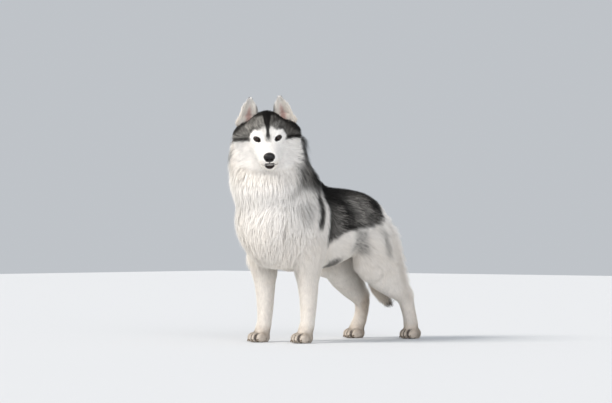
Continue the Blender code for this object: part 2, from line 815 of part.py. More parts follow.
def add_eyes(body, model, helpers):
    """Open the eye holes, set the lids round them and seat the eyeballs."""
    eyes = {}
    for side, word in ((1, "left"), (-1, "right")):
        hole = make_eye_hole(side, helpers)
        combine(body, hole, "DIFFERENCE")
        lids = make_lids(side, "lids", helpers)
        combine(body, lids, "UNION")
        socket = make_ball("socket", eye_place(side), EYE_RADIUS + GAP, helpers)
        combine(body, socket, "DIFFERENCE")
        for tool in (hole, lids, socket):
            bpy.data.objects.remove(tool)
        eyes[word] = make_ball(word + "_eye", eye_place(side), EYE_RADIUS, model)
    return eyes


def muzzle_half_width(y):
    """Half width of the muzzle at this y, read from the skull stations."""
    for (y0, w0, _, _), (y1, w1, _, _) in zip(SKULL, SKULL[1:]):
        if y1 <= y <= y0:
            share = (y0 - y) / (y0 - y1)
            return w0 + share * (w1 - w0)
    return SKULL[-1][1]


def cut_mouth(body, helpers):
    """A thin groove round the front of the muzzle, deepest at the lips."""
    bm = bmesh.new()
    inner, outer = [], []
    fall = (MOUTH_CORNER.z - MOUTH_FRONT.z) / (MOUTH_CORNER.y - MOUTH_FRONT.y)
    steps = 9
    sides = [(-1, k) for k in range(steps)] + [(1, k) for k in range(steps - 1, -1, -1)]
    for side, k in sides:
        y = MOUTH_CORNER.y + (MOUTH_FRONT.y + 0.006 - MOUTH_CORNER.y) * k / steps
        width = muzzle_half_width(y)
        z = MOUTH_FRONT.z + fall * (y - MOUTH_FRONT.y)
        depth = 0.0045 * min(1, 0.35 + k / 4)
        inner.append(Vector((side * (width - depth), y + depth * k / steps, z)))
        outer.append(Vector((side * (width + 0.012), y - 0.030 * k / steps, z)))
    rows = []
    for ring, thick in ((inner, 0.0005), (outer, 0.0030)):
        for sign in (-1, 1):
            lift = Vector((0, 0, thick * sign))
            rows.append([bm.verts.new(point + lift) for point in ring])
    low_in, high_in, low_out, high_out = rows
    count = len(low_in)
    for k in range(count - 1):
        n = k + 1
        bm.faces.new((low_in[k], low_in[n], low_out[n], low_out[k]))
        bm.faces.new((high_in[k], high_out[k], high_out[n], high_in[n]))
        bm.faces.new((low_in[k], high_in[k], high_in[n], low_in[n]))
        bm.faces.new((low_out[k], low_out[n], high_out[n], high_out[k]))
    for k in (0, count - 1):
        bm.faces.new((low_in[k], low_out[k], high_out[k], high_in[k]))
    bmesh.ops.triangulate(bm, faces=bm.faces[:])
    bmesh.ops.transform(bm, matrix=head_space(), verts=bm.verts[:])
    groove = finish("mouth_cut", bm, helpers)
    combine(body, groove, "DIFFERENCE")
    bpy.data.objects.remove(groove)


def make_claw(name, root, grow, collection):
    """A short curved cone that comes out of a toe and points down and ahead."""
    bm = bmesh.new()
    size = CLAW_RADIUS + grow
    length = CLAW_LENGTH + 2 * grow
    bmesh.ops.create_cone(
        bm, cap_ends=True, segments=6, radius1=size, radius2=size * 0.25, depth=length
    )
    bmesh.ops.subdivide_edges(
        bm, edges=[e for e in bm.edges if abs(e.verts[0].co.z - e.verts[1].co.z) > 0.01],
        cuts=1,
    )
    tip = Matrix.Rotation(math.radians(116), 4, "X")
    for vert in bm.verts:
        along = vert.co.z / length + 0.5
        vert.co.y += 0.0042 * along * along
    bmesh.ops.transform(bm, matrix=Matrix.Translation(root) @ tip, verts=bm.verts[:])
    bmesh.ops.triangulate(bm, faces=bm.faces[:])
    return finish(name, bm, collection)


def add_claws(body, model, helpers):
    """Sixteen claws, each in its own socket in a toe."""
    paws = (
        ("left_front", FRONT_LEFT),
        ("right_front", FRONT_RIGHT),
        ("left_hind", HIND_LEFT),
        ("right_hind", HIND_RIGHT),
    )
    claws = []
    for name, paw in paws:
        for i, (toe, _) in enumerate(toe_places(paw)):
            root = toe + Vector((0, -0.0210, -0.0030))
            socket = make_claw("claw_cut", root, GAP, helpers)
            combine(body, socket, "DIFFERENCE")
            bpy.data.objects.remove(socket)
            claws.append(make_claw(f"{name}_claw_{i + 1}", root, 0, model))
    return claws


def head_planes():
    """The slanting plane between the head and the neck, in head space."""
    throat = ((0, -0.030, -0.084), (0, 0.200, -1))
    return [((0, -0.030, -0.078), (0, 0.694, -0.720)), throat]


def split_head(body, model, helpers, pieces):
    """Cut off the head and divide it into its named parts."""
    space = head_space()
    head = cut_off(body, "head", head_planes(), model, helpers, space)
    fall = (MOUTH_CORNER.z - MOUTH_FRONT.z) / (MOUTH_CORNER.y - MOUTH_FRONT.y)
    jaw = [((0, MOUTH_FRONT.y, MOUTH_FRONT.z), (0, -fall, 1))]
    jaw += box_planes((-0.048, None, -0.088), (0.048, MOUTH_CORNER.y, None))
    pieces["lower_jaw"] = cut_off(head, "lower_jaw", jaw, model, helpers, space)
    front = [((0, -0.058, 0), (0, 1, 0.25))]
    front += box_planes((-0.058, None, -0.088), (0.058, None, None))
    pieces["muzzle"] = cut_off(head, "muzzle", front, model, helpers, space)
    for side, word in ((1, "left"), (-1, "right")):
        root = Vector((0.022 * side, 0, 0.111))
        planes = [(root, (-0.474 * side, 0, -0.880)), ((0.010 * side, 0, 0), (-side, 0, 0))]
        name = word + "_ear"
        pieces[name] = cut_off(head, name, planes, model, helpers, space)
    pieces["head"] = largest_part(head)


def split_legs(body, model, helpers, pieces):
    """Cut each leg into its named lengths, from the paw up."""
    for word, side, paw in (("left", 1, FRONT_LEFT), ("right", -1, FRONT_RIGHT)):
        inner = ((0.034 * side, 0, 0), (-side, 0, 0))
        ends = [inner, ((0, paw.y - 0.052, 0), (0, -1, 0))]
        ends.append(((0, paw.y + 0.086, 0), (0, 1, 0)))
        cuts = (
            ("front_paw", [((0, 0, 0.050), (0, 0, 1))]),
            ("pastern", [((0, 0, 0.112), (0, 0, 1))]),
            ("forearm", [((0, 0, 0.285), (0, 0, 1))]),
        )
        for part, planes in cuts:
            name = f"{word}_{part}"
            pieces[name] = cut_off(body, name, planes + ends, model, helpers)
        blade = [((0.070 * side, 0, 0), (-side, 0, 0)), ((0, 0, 0.470), (0, -0.25, 1))]
        blade.append(((0, paw.y - 0.095, 0), (0, -1, 0)))
        blade.append(((0, paw.y + 0.130, 0), (0, 1, 0)))
        name = f"{word}_shoulder"
        pieces[name] = cut_off(body, name, blade, model, helpers)
    for word, side, paw in (("left", 1, HIND_LEFT), ("right", -1, HIND_RIGHT)):
        back = 0 if side > 0 else RIGHT_THIGH_BACK
        inner = ((THIGH_INNER * side, 0, 0), (-side, 0, 0))
        ends = [inner, ((0, paw.y - 0.29 + back, 0), (0, -1, 0))]
        hock = paw + Vector((0, -0.040 + back, 0.150))
        knee = paw + Vector((0, -0.130 + back, 0.240))
        cuts = (
            ("hind_paw", [((0, 0, 0.050), (0, 0, 1))]),
            ("hock", [(hock, (0, -0.62, 0.78))]),
            ("lower_thigh", [(knee, (0, -0.50, 0.87))]),
            ("thigh", [((0, 0, 0.455), (0, 0.12, 1))]),
        )
        for part, planes in cuts:
            name = f"{word}_{part}"
            pieces[name] = cut_off(body, name, planes + ends, model, helpers)


def split_trunk(body, model, helpers, pieces):
    """Cut the neck, the chest, the ribs and the loin off what is left."""
    neck = [(NECK_CUT, (0, NECK_CUT_SLOPE, -1))]
    pieces["neck"] = cut_off(body, "neck", neck, model, helpers)
    belly = box_planes((None, 0.190, None), (None, None, 0.338))
    pieces["belly"] = cut_off(body, "belly", belly, model, helpers)
    for name, y in (("chest", -0.010), ("ribs", 0.190), ("loin", 0.370)):
        planes = [((0, y, 0), (0, 1, 0))]
        pieces[name] = cut_off(body, name, planes, model, helpers)
    body.name = "rump"
    model.objects.link(body)
    pieces["rump"] = largest_part(body)


def split_tail(body, model, helpers, pieces):
    """Cut the tail off between the thighs and into four lengths."""
    cuts = (
        ("tail_tip", 0.165, 0.440),
        ("tail_lower", 0.245, 0.440),
        ("tail_middle", 0.335, TAIL_FRONT),
        ("tail_base", 0.470, TAIL_FRONT),
    )
    half = THIGH_INNER - GAP
    for name, z, front in cuts:
        planes = box_planes((-half, front, None), (half, None, None))
        planes.append(((0, 0.505, z), (0, -0.30 if name == "tail_base" else 0.10, 1)))
        pieces[name] = cut_off(body, name, planes, model, helpers)


def paint(pieces, eyes, claws):
    """Give each piece its own material and smooth shading."""
    looks = {
        "head": COAT_WHITE, "muzzle": COAT_WHITE, "lower_jaw": COAT_WHITE,
        "left_ear": COAT_BLACK, "right_ear": COAT_BLACK, "nose": NOSE_BLACK,
        "neck": COAT_WHITE, "chest": COAT_CREAM, "belly": COAT_CREAM, "ribs": COAT_BLACK,
        "loin": COAT_BLACK, "rump": COAT_BLACK, "tail_base": COAT_BLACK,
        "tail_middle": COAT_GREY, "tail_lower": COAT_GREY, "tail_tip": COAT_BLACK,
        "left_shoulder": COAT_GREY, "right_shoulder": COAT_CREAM,
        "left_thigh": COAT_GREY, "right_thigh": COAT_GREY,
    }
    for name, obj in pieces.items():
        look = looks.get(name, PAW_TAN if "paw" in name else COAT_CREAM)
        dress(obj, look)
    for obj in eyes.values():
        dress(obj, EYE_BROWN)
    for obj in claws:
        dress(obj, CLAW_DARK)


def dress(obj, look):
    """Material and smooth shading of one piece."""
    obj.data.materials.clear()
    obj.data.materials.append(make_material(obj.name, look))
    obj.hide_render = False
    obj.display_type = "TEXTURED"
    obj.data.shade_smooth()


def flat_sole(body, helpers):
    """Cut everything below the floor away, which leaves the flats of the paws."""
    planes = [((0, 0, 0), (0, 0, 1))]
    below = cell("floor_cut", planes, 0, helpers)
    combine(body, below, "DIFFERENCE")
    bpy.data.objects.remove(below)


def centre_on_floor(model):
    """Move the whole dog so that the middle of its box is over the origin."""
    corners = [vert.co for obj in model.objects for vert in obj.data.vertices]
    middle = [
        (min(c[i] for c in corners) + max(c[i] for c in corners)) / 2 for i in (0, 1)
    ]
    for obj in model.objects:
        obj.data.transform(Matrix.Translation((-middle[0], -middle[1], 0)))


def main():
    """Build the dog."""
    clear_scene()
    model = make_collection("siberian_husky")
    helpers = make_collection("cutters", hidden=True)
    body = fuse("body", make_body_forms(helpers), BODY_TRIANGLES, helpers)
    draw_in(body)
    add_locks(body, helpers)
    flat_sole(body, helpers)
    for side in (-1, 1):
        ear = make_ear(side, "ear_form", helpers)
        combine(body, ear, "UNION")
        bpy.data.objects.remove(ear)
    nose = make_nose("nose", body, model, helpers)
    cut_mouth(body, helpers)
    eyes = add_eyes(body, model, helpers)
    claws = add_claws(body, model, helpers)
    pieces = {"nose": nose}
    split_head(body, model, helpers, pieces)
    split_legs(body, model, helpers, pieces)
    split_tail(body, model, helpers, pieces)
    split_trunk(body, model, helpers, pieces)
    paint(pieces, eyes, claws)
    centre_on_floor(model)


main()
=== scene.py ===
"""Looks of the life-size husky: skin, coat, eyes, nose, ears, claws and a plain stage.

The dog is modelled in the space its stations are drawn in, facing -Y with its left
side at +X, and every finished piece is then moved into the space of the frame.
"""
import math

import bmesh
import bpy
import numpy as np
from bpy.props import FloatProperty, FloatVectorProperty, IntProperty, PointerProperty
from mathutils import Matrix, Vector
from mathutils.bvhtree import BVHTree
from mathutils.kdtree import KDTree


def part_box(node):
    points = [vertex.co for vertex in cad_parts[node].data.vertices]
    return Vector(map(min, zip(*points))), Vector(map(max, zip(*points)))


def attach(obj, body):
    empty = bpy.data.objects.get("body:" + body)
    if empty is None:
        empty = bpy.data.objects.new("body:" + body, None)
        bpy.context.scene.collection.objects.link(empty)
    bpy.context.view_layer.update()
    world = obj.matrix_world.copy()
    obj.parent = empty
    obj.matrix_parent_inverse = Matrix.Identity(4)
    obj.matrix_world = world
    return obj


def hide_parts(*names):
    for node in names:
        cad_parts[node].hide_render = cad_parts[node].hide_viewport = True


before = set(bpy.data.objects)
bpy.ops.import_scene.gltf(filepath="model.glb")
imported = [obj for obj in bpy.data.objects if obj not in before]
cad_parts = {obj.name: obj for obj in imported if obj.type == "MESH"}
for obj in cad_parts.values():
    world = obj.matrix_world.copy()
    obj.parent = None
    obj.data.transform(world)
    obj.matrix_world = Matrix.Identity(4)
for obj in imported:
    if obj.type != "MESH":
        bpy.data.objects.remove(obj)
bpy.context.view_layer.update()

bl_info = {
    "name": "Siberian husky",
    "version": (1, 0, 0),
    "blender": (4, 5, 0),
    "location": "3D View > Sidebar > Husky",
    "description": "A still, life-size husky in its winter coat",
    "category": "Object",
}

# Place and turn of the head
HEAD_PLACE = Vector((0.052, -0.122, 0.711))
HEAD_TURN = math.radians(43.8)
CAD_HEAD_TURN = math.radians(42)
HEAD_PITCH = math.radians(20)
HEAD_ROLL = math.radians(-3.5)

# Head details, in the head's own space: x left, y back, z up
EYE_PLACE = Vector((0.0372, -0.0300, 0.0145))
# How far the eyes of the scene are moved from those of the solids
EYE_MOVE = Vector((-0.0014, -0.0012, 0.0050))
NOSE_PLACE = Vector((0, -0.1420, -0.0160))
NOSE_REACH = Vector((0.0196, 0.0135, 0.0162))
EYE_RADIUS = 0.0135
# How far from the middle of its view the pupil ends, the iris darkens and the white starts
PUPIL_EDGE, IRIS_DARKENS, WHITE_EDGE = (0.24, 0.19), (0.42, 0.62), (0.66, 0.74)
LID_HALF_WIDTH = 0.0118
LID_HALF_HEIGHT = 0.0068
# The rims of the lids: their place outside the opening and over the eye, as shares
RIM_OUTSIDE, RIM_LIFT = 1.05, 1.06
# Brows and whisker pads: place on the left, reach, and how far they stand out
BROW_PLACE, BROW_REACH, BROW_RISE = (0.036, -0.036, 0.036), (0.024, 0.020, 0.012), 0.0022
WHISKER_PLACE, WHISKER_REACH, WHISKER_RISE = (0.021, -0.130, -0.027), (0.020, 0.028, 0.014), 0.0024
# The line of the mouth: y and z in front, then at its corners
MOUTH_FRONT = (-0.1500, -0.0395)
MOUTH_BACK = (-0.0540, -0.0440)
MOUTH_SLOPE = (MOUTH_BACK[1] - MOUTH_FRONT[1]) / (MOUTH_BACK[0] - MOUTH_FRONT[0])
# The edge of the lips: where it ends behind and how far it reaches forward, its place
# beside the middle and how far it reaches out, its sag, and its drop under the mouth's line
LIP_Y, LIP_FORWARD = -0.066, 0.086
LIP_X, LIP_OUT = 0.006, 0.042
LIP_SAG, LIP_DROP = 0.0018, 0.0008
# The edge's radius where it starts, and how much thicker it gets; the groove has the second
LIP_THIN, LIP_THICKER = 0.0004, 0.0007
EAR_ROOT = Vector((0.0600, 0.0450, 0.0620))
EAR_HEIGHT = 0.083
EAR_WIDTH = 0.077
EAR_DEPTH = 0.030
# The tip's lean to the middle, and how far the skin's edge lies inside the hair's
EAR_TURN_IN = 0.008
EAR_INSET = 0.0005
# How far the ear's back curves forward, as a share of its half width
EAR_BEND = 0.70
# Nostrils and the slits beside them: place to the side and height, half sizes, depth
NOSTRIL_PLACE, NOSTRIL_HALF, NOSTRIL_DEPTH = (0.0088, -0.0046), (0.0048, 0.0034), 0.0075
SLIT_PLACE, SLIT_HALF, SLIT_DEPTH = (0.0145, -0.0075), (0.0050, 0.0013), 0.0030
NOSE_GROOVE_HALF, NOSE_GROOVE_DEPTH = 0.0011, 0.0013
# 2 would make the nose's front an ellipse, and more makes it squarer
NOSE_SQUARENESS = 2.7

# Lowest places over the floor: of the skin, of a tuft, and of a tuft's root
SKIN_FLOOR = 0.0012
TUFT_FLOOR = 0.0008
SOLE_HEIGHT = 0.004

# Places of the paws on the floor
FRONT_LEFT = Vector((0.090, 0.024, 0))
FRONT_RIGHT = Vector((-0.090, -0.005, 0))
HIND_LEFT = Vector((0.095, 0.612, 0))
HIND_RIGHT = Vector((-0.090, 0.510, 0))
PAW_WIDTH = 0.063
PAW_LENGTH = 0.082
PAW_HEIGHT = 0.042
TOE_STEP = PAW_WIDTH * 0.245
PAW_REACH = Vector((PAW_WIDTH * 0.44, PAW_LENGTH * 0.42, PAW_HEIGHT * 0.62))
PAW_MIDDLE = Vector((0, 0.004, 0.018))
# Height of the toes, then how far inner and outer ones lie ahead, as shares of PAW_LENGTH
TOE_HEIGHT = 0.0165
TOE_AHEAD, OUTER_TOE_AHEAD = 0.32, 0.21
TOE_REACH = Vector((0.0112, 0.026, 0.0190))
OUTER_TOE_REACH = Vector((0.0112, 0.024, 0.0190))
# Reaches of a toe's pad and of the main pad, and how they lie under the toe and the paw
TOE_PAD, MAIN_PAD = Vector((0.0062, 0.0085, 0.0031)), Vector((0.0150, 0.0120, 0.0033))
TOE_PAD_BACK, TOE_PAD_HEIGHT = 0.002, 0.0033
MAIN_PAD_PLACE = Vector((0, 0.010, 0.0036))
PAD_PEBBLE = 0.0016
CLAW_LENGTH = 0.0100
CLAW_RADIUS = 0.0028
CLAW_CURVE = 0.0042
CLAW_TIP_RADIUS = 0.0003
CLAW_TILT = math.radians(116)
# From the middle of a toe to the root of its claw
CLAW_ROOT = Vector((0, -0.0200, -0.0052))
# The stifle over the paw, then how far each side's is moved and its share of the reach
STIFLE = Vector((0, -0.207, 0.247))
STIFLE_REACH = Vector((0.043, 0.050, 0.040))
LEFT_STIFLE = (Vector((0, -0.022, 0)), 1)
RIGHT_STIFLE = (Vector((0, 0.052, 0.012)), 0.904)

# Trunk stations: y, half width, lowest z, highest z
TRUNK = (
    (-0.158, 0.050, 0.385, 0.480),
    (-0.138, 0.092, 0.335, 0.535),
    (-0.100, 0.125, 0.298, 0.560),
    (-0.035, 0.145, 0.268, 0.578),
    (0.050, 0.147, 0.253, 0.578),
    (0.150, 0.140, 0.255, 0.566),
    (0.250, 0.131, 0.268, 0.552),
    (0.350, 0.118, 0.298, 0.546),
    (0.420, 0.101, 0.320, 0.536),
    (0.470, 0.090, 0.330, 0.516),
    (0.510, 0.074, 0.340, 0.487),
    (0.540, 0.058, 0.355, 0.450),
    (0.560, 0.040, 0.370, 0.415),
)

# Neck and ruff stations: centre x, y, z, half width, half depth, share of the turn
NECK = (
    (0.000, 0.055, 0.450, 0.122, 0.135, 0.0),
    (-0.002, -0.010, 0.520, 0.145, 0.165, 0.0),
    (-0.004, -0.041, 0.580, 0.147, 0.156, 0.2),
    (-0.006, -0.052, 0.650, 0.142, 0.122, 0.8),
    (-0.015, -0.044, 0.710, 0.133, 0.092, 1.0),
    (-0.024, -0.050, 0.750, 0.108, 0.068, 1.0),
    (-0.024, -0.056, 0.776, 0.058, 0.038, 1.0),
)

# Skull and muzzle stations in head space: y, half width, lowest z, highest z
SKULL = (
    (0.108, 0.040, 0.005, 0.060),
    (0.090, 0.070, -0.030, 0.084),
    (0.060, 0.088, -0.052, 0.098),
    (0.030, 0.090, -0.064, 0.099),
    (0.002, 0.084, -0.070, 0.088),
    (-0.018, 0.073, -0.072, 0.068),
    (-0.036, 0.057, -0.072, 0.040),
    (-0.054, 0.047, -0.071, 0.024),
    (-0.080, 0.040, -0.069, 0.015),
    (-0.108, 0.036, -0.068, 0.009),
    (-0.128, 0.034, -0.069, 0.006),
    (-0.141, 0.030, -0.065, 0.003),
    (-0.149, 0.021, -0.056, -0.004),
)

# Round muscles of the head: place and reach in head space, mirrored
HEAD_BALLS = (
    ((0.0580, 0.0200, -0.0380), (0.0480, 0.0500, 0.0500)),
    ((0.0720, 0.0520, 0.0330), (0.0340, 0.0280, 0.0320)),
    ((0.0750, 0.0320, 0.0030), (0.0490, 0.0480, 0.0550)),
    ((0.0130, 0.0480, 0.0500), (0.0460, 0.0460, 0.0450)),
)

# The slope of the nape, from the back of the head down to the withers
NAPE_BALLS = (
    ((-0.034, 0.008, 0.698), (0.058, 0.054, 0.062)),
    ((-0.022, 0.050, 0.645), (0.050, 0.056, 0.078)),
    ((-0.012, 0.095, 0.590), (0.052, 0.060, 0.040)),
    ((-0.006, 0.145, 0.555), (0.052, 0.078, 0.030)),
)

# Leg stations from the trunk down: x and y from the paw, z, half width, half depth
FRONT_LEG = (
    (-0.020, 0.040, 0.470, 0.050, 0.075),
    (-0.008, 0.026, 0.400, 0.058, 0.083),
    (0.000, 0.022, 0.340, 0.058, 0.078),
    (0.000, 0.020, 0.300, 0.053, 0.067),
    (0.000, 0.020, 0.258, 0.042, 0.049),
    (0.000, 0.023, 0.210, 0.035, 0.039),
    (0.000, 0.025, 0.160, 0.030, 0.033),
    (0.000, 0.024, 0.115, 0.027, 0.029),
    (0.000, 0.021, 0.075, 0.024, 0.026),
    (0.000, 0.012, 0.045, 0.025, 0.028),
    (0.000, 0.004, 0.025, 0.026, 0.029),
)
# The left hind leg is stretched back
HIND_LEFT_LEG = (
    (-0.040, -0.182, 0.470, 0.035, 0.035),
    (-0.028, -0.192, 0.445, 0.050, 0.055),
    (-0.020, -0.180, 0.400, 0.058, 0.092),
    (-0.015, -0.183, 0.360, 0.060, 0.118),
    (-0.010, -0.180, 0.300, 0.055, 0.123),
    (-0.003, -0.134, 0.245, 0.047, 0.090),
    (0.000, -0.090, 0.198, 0.038, 0.058),
    (0.000, -0.053, 0.168, 0.029, 0.039),
    (0.000, -0.034, 0.142, 0.025, 0.031),
    (0.000, -0.021, 0.105, 0.022, 0.028),
    (0.000, -0.011, 0.075, 0.022, 0.027),
    (0.000, -0.006, 0.045, 0.024, 0.028),
    (0.000, -0.008, 0.025, 0.026, 0.029),
)
# The right hind leg stands further under the body
HIND_RIGHT_LEG = (
    (-0.035, -0.090, 0.470, 0.035, 0.035),
    (-0.023, -0.093, 0.445, 0.050, 0.055),
    (-0.015, -0.095, 0.400, 0.058, 0.090),
    (-0.010, -0.100, 0.360, 0.060, 0.104),
    (-0.006, -0.092, 0.300, 0.054, 0.110),
    (-0.002, -0.052, 0.238, 0.046, 0.080),
    (0.000, -0.012, 0.190, 0.036, 0.055),
    (0.000, 0.018, 0.160, 0.029, 0.040),
    (0.000, 0.037, 0.132, 0.025, 0.031),
    (0.000, 0.034, 0.100, 0.022, 0.027),
    (0.000, 0.024, 0.070, 0.022, 0.026),
    (0.000, 0.010, 0.045, 0.024, 0.028),
    (0.000, 0.000, 0.025, 0.026, 0.029),
)
# Tail stations: y, z, half width, half depth; it hangs in the middle plane
TAIL = (
    (0.500, 0.450, 0.028, 0.028),
    (0.530, 0.430, 0.036, 0.036),
    (0.550, 0.385, 0.041, 0.046),
    (0.545, 0.315, 0.041, 0.051),
    (0.522, 0.245, 0.037, 0.046),
    (0.530, 0.190, 0.031, 0.036),
    (0.562, 0.153, 0.024, 0.024),
    (0.604, 0.129, 0.010, 0.010),
)

# The skin is made at this grain, and the face is then divided once more
RING_POINTS = 40
VOXEL = 0.0042
SOFTEN_ROUNDS = 7
# Coarse copy of the skin on which the coat's patches of colour are laid out
UNWRAP_TRIANGLES = 9000
PATCH_WIDTH = 0.0024
PATCH_LENGTH = 0.0030

# Tufts over the body, and the most that one piece holds
SEED = 11
TUFTS = 147000
PIECE_TUFTS = 19500
# Along a tuft: share of its length, share of its height, then share of its half width
RING_PLACES = (0.0, 0.38, 0.74, 1.0)
RING_RISES = (-0.10, 0.52, 0.86, 0.96)
RING_WIDTHS = (0.70, 1.00, 0.62)
# Height of the ridge along a tuft's middle, as a share of its half width there
RIDGE = 0.4
# How far each row of a tuft is pulled towards its lock
LOCK_PULLS = ((1, 0.01), (2, 0.05), (3, 0.13))

FLESH_NODES = [
    "head", "muzzle", "lower_jaw", "left_ear", "right_ear", "neck", "chest", "belly",
    "ribs", "loin", "rump", "tail_base", "tail_middle", "tail_lower", "tail_tip",
] + [
    f"{side}_{part}"
    for side in ("left", "right")
    for part in (
        "shoulder", "forearm", "pastern", "front_paw",
        "thigh", "lower_thigh", "hock", "hind_paw",
    )
]
PAWS = (
    ("left_front", FRONT_LEFT),
    ("right_front", FRONT_RIGHT),
    ("left_hind", HIND_LEFT),
    ("right_hind", HIND_RIGHT),
)


def head_space(angle):
    """The matrix that carries head space to the space of the stations."""
    turn = Matrix.Rotation(angle, 4, "Z")
    roll = Matrix.Rotation(HEAD_ROLL, 4, "Y")
    pitch = Matrix.Rotation(HEAD_PITCH, 4, "X")
    return Matrix.Translation(HEAD_PLACE) @ turn @ roll @ pitch


HEAD = head_space(HEAD_TURN)
HEAD_ARRAY = np.array(HEAD)
HEAD_AXES = np.array(HEAD.to_3x3())
HEAD_INVERSE = np.array(HEAD.inverted())


def frame_shift():
    """From the space of the stations to the frame, found by the left eye."""
    low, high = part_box("left_eye")
    shift = (low + high) / 2 - head_space(CAD_HEAD_TURN) @ EYE_PLACE
    shift.z = 0
    return shift


SHIFT = frame_shift()
EYE_PLACE = EYE_PLACE + EYE_MOVE


# Colours as sRGB hex values
def linear(colour):
    """An sRGB hex colour as linear red, green and blue."""
    value = colour.lstrip("#")
    channels = [int(value[i : i + 2], 16) / 255 for i in (0, 2, 4)]
    return tuple(
        c / 12.92 if c <= 0.04045 else ((c + 0.055) / 1.055) ** 2.4 for c in channels
    )


BLACK = np.array(linear("#12100F"))
DARK_GREY = np.array(linear("#393633"))
GREY = np.array(linear("#83817C"))
SILVER = np.array(linear("#C9C4BC"))
# Painted shade in the gaps between the toes
TOE_GAP_SHADE = np.array(linear("#3A2E26"))
BEIGE = np.array(linear("#ABA8A1"))
TAN = np.array(linear("#BFA98E"))
CREAM = np.array(linear("#EADFCF"))
WHITE = np.array(linear("#F6F3EE"))
PINK = np.array(linear("#B07468"))
LIP = np.array(linear("#2A2220"))
TAIL_BROWN = np.array(linear("#E0D6C9"))
TAIL_TIP = np.array(linear("#655C54"))
IRIS = np.array(linear("#36200F"))
IRIS_EDGE = np.array(linear("#120A06"))
PUPIL = np.array(linear("#0A0706"))
EYE_WHITE = np.array(linear("#4A3A32"))


# Smooth masks and noise on arrays of points
def ramp(value, start, end):
    """0 at start and 1 at end, smooth in between; start may be above end."""
    t = np.clip((value - start) / (end - start), 0, 1)
    return t * t * (3 - 2 * t)


def mix(first, second, share):
    """Blend two arrays of rows by a share for each row."""
    share = np.asarray(share)[:, None]
    return first * (1 - share) + second * share


def unit(rows):
    """Each row at length one."""
    return rows / np.maximum(np.linalg.norm(rows, axis=1, keepdims=True), 1e-9)


def hash_grid(cell, seed):
    """A fixed random number from 0 to 1 for each whole-number cell."""
    x, y, z = (cell[:, i].astype(np.uint64) for i in range(3))
    h = x * np.uint64(73856093) ^ y * np.uint64(19349663) ^ z * np.uint64(83492791)
    h = (h ^ np.uint64(seed * 2654435761 % 4294967296)) * np.uint64(2246822519)
    h = (h ^ (h >> np.uint64(15))) * np.uint64(3266489917)
    return ((h >> np.uint64(13)) & np.uint64(65535)).astype(float) / 65535


def noise(p, size, seed=0):
    """Smooth noise from -1 to 1 with features of this size in metres."""
    scaled = p / size + 1000
    base = np.floor(scaled)
    part = scaled - base
    part = part * part * (3 - 2 * part)
    total = np.zeros(len(p))
    for corner in range(8):
        step = np.array([corner & 1, corner >> 1 & 1, corner >> 2 & 1])
        weight = np.prod(np.where(step, part, 1 - part), axis=1)
        total += weight * hash_grid(base + step, seed)
    return total * 2 - 1


def to_head(p):
    """Points of the body in head space."""
    return p @ HEAD_INVERSE[:3, :3].T + HEAD_INVERSE[:3, 3]


def from_head(q):
    """Points of head space on the body."""
    return q @ HEAD_ARRAY[:3, :3].T + HEAD_ARRAY[:3, 3]


def mirrored(place, side):
    """A place of head space on the left, where side is 1, or on the right, where it is -1."""
    return Vector((place.x * side, place.y, place.z))


def mouth_height(y):
    """Height of the line of the mouth at this y of head space."""
    return MOUTH_FRONT[1] + MOUTH_SLOPE * (y - MOUTH_FRONT[0])


def near_head(q):
    """1 on the head, 0 on the neck behind and below it."""
    reach = np.linalg.norm((q - (0, -0.01, 0.005)) / (0.125, 0.165, 0.120), axis=1)
    back = ramp(q[:, 1], 0.100, 0.060)
    below = ramp(q[:, 2], -0.100, -0.078)
    return ramp(reach, 1.20, 1.0) * back * below


def to_tail(p):
    """How far each point is from the middle line of the tail, and how far along."""
    line = np.array([(0, y, z) for y, z, _, _ in TAIL])
    best = np.full(len(p), 9.0)
    along = np.zeros(len(p))
    for i, (a, b) in enumerate(zip(line, line[1:])):
        t = np.clip(((p - a) @ (b - a)) / ((b - a) @ (b - a)), 0, 1)
        away = np.linalg.norm(p - a - t[:, None] * (b - a), axis=1)
        along = np.where(away < best, i + t, along)
        best = np.minimum(away, best)
    return best, along


def on_tail(p):
    """1 on the tail and 0 on the thighs beside it."""
    away, along = to_tail(p)
    return ramp(away, 0.066, 0.050) * ramp(np.abs(p[:, 0]), 0.046, 0.040) * ramp(along, 0.4, 1.2)


def paw_space(p):
    """The nearest paw's place for each point, as an array of rows."""
    paws = np.array([place for _, place in PAWS])
    flat = np.linalg.norm(p[:, None, :2] - paws[None, :, :2], axis=2)
    return p - paws[flat.argmin(axis=1)]


def neck_facing(p):
    """Which way the neck faces at each point, 1 in front and -1 at the nape."""
    heights = [station[2] for station in NECK]
    middle_x = np.interp(p[:, 2], heights, [station[0] for station in NECK])
    middle_y = np.interp(p[:, 2], heights, [station[1] for station in NECK])
    turn = 0.74 * HEAD_TURN * ramp(p[:, 2], 0.50, 0.66)
    away = unit(np.stack([p[:, 0] - middle_x, p[:, 1] - middle_y], axis=1))
    return away[:, 0] * np.sin(turn) - away[:, 1] * np.cos(turn)


def breeches(p):
    """1 on the long coat behind the thighs."""
    x, y, z = np.abs(p[:, 0]), p[:, 1], p[:, 2]
    back = np.where(p[:, 0] < 0, 0.020, 0.0)
    slope = ramp(y + back - 0.50 - 0.30 * (0.30 - z), -0.045, 0.015)
    return slope * ramp(x, 0.030, 0.046) * ramp(z, 0.150, 0.200) * ramp(z, 0.47, 0.43)


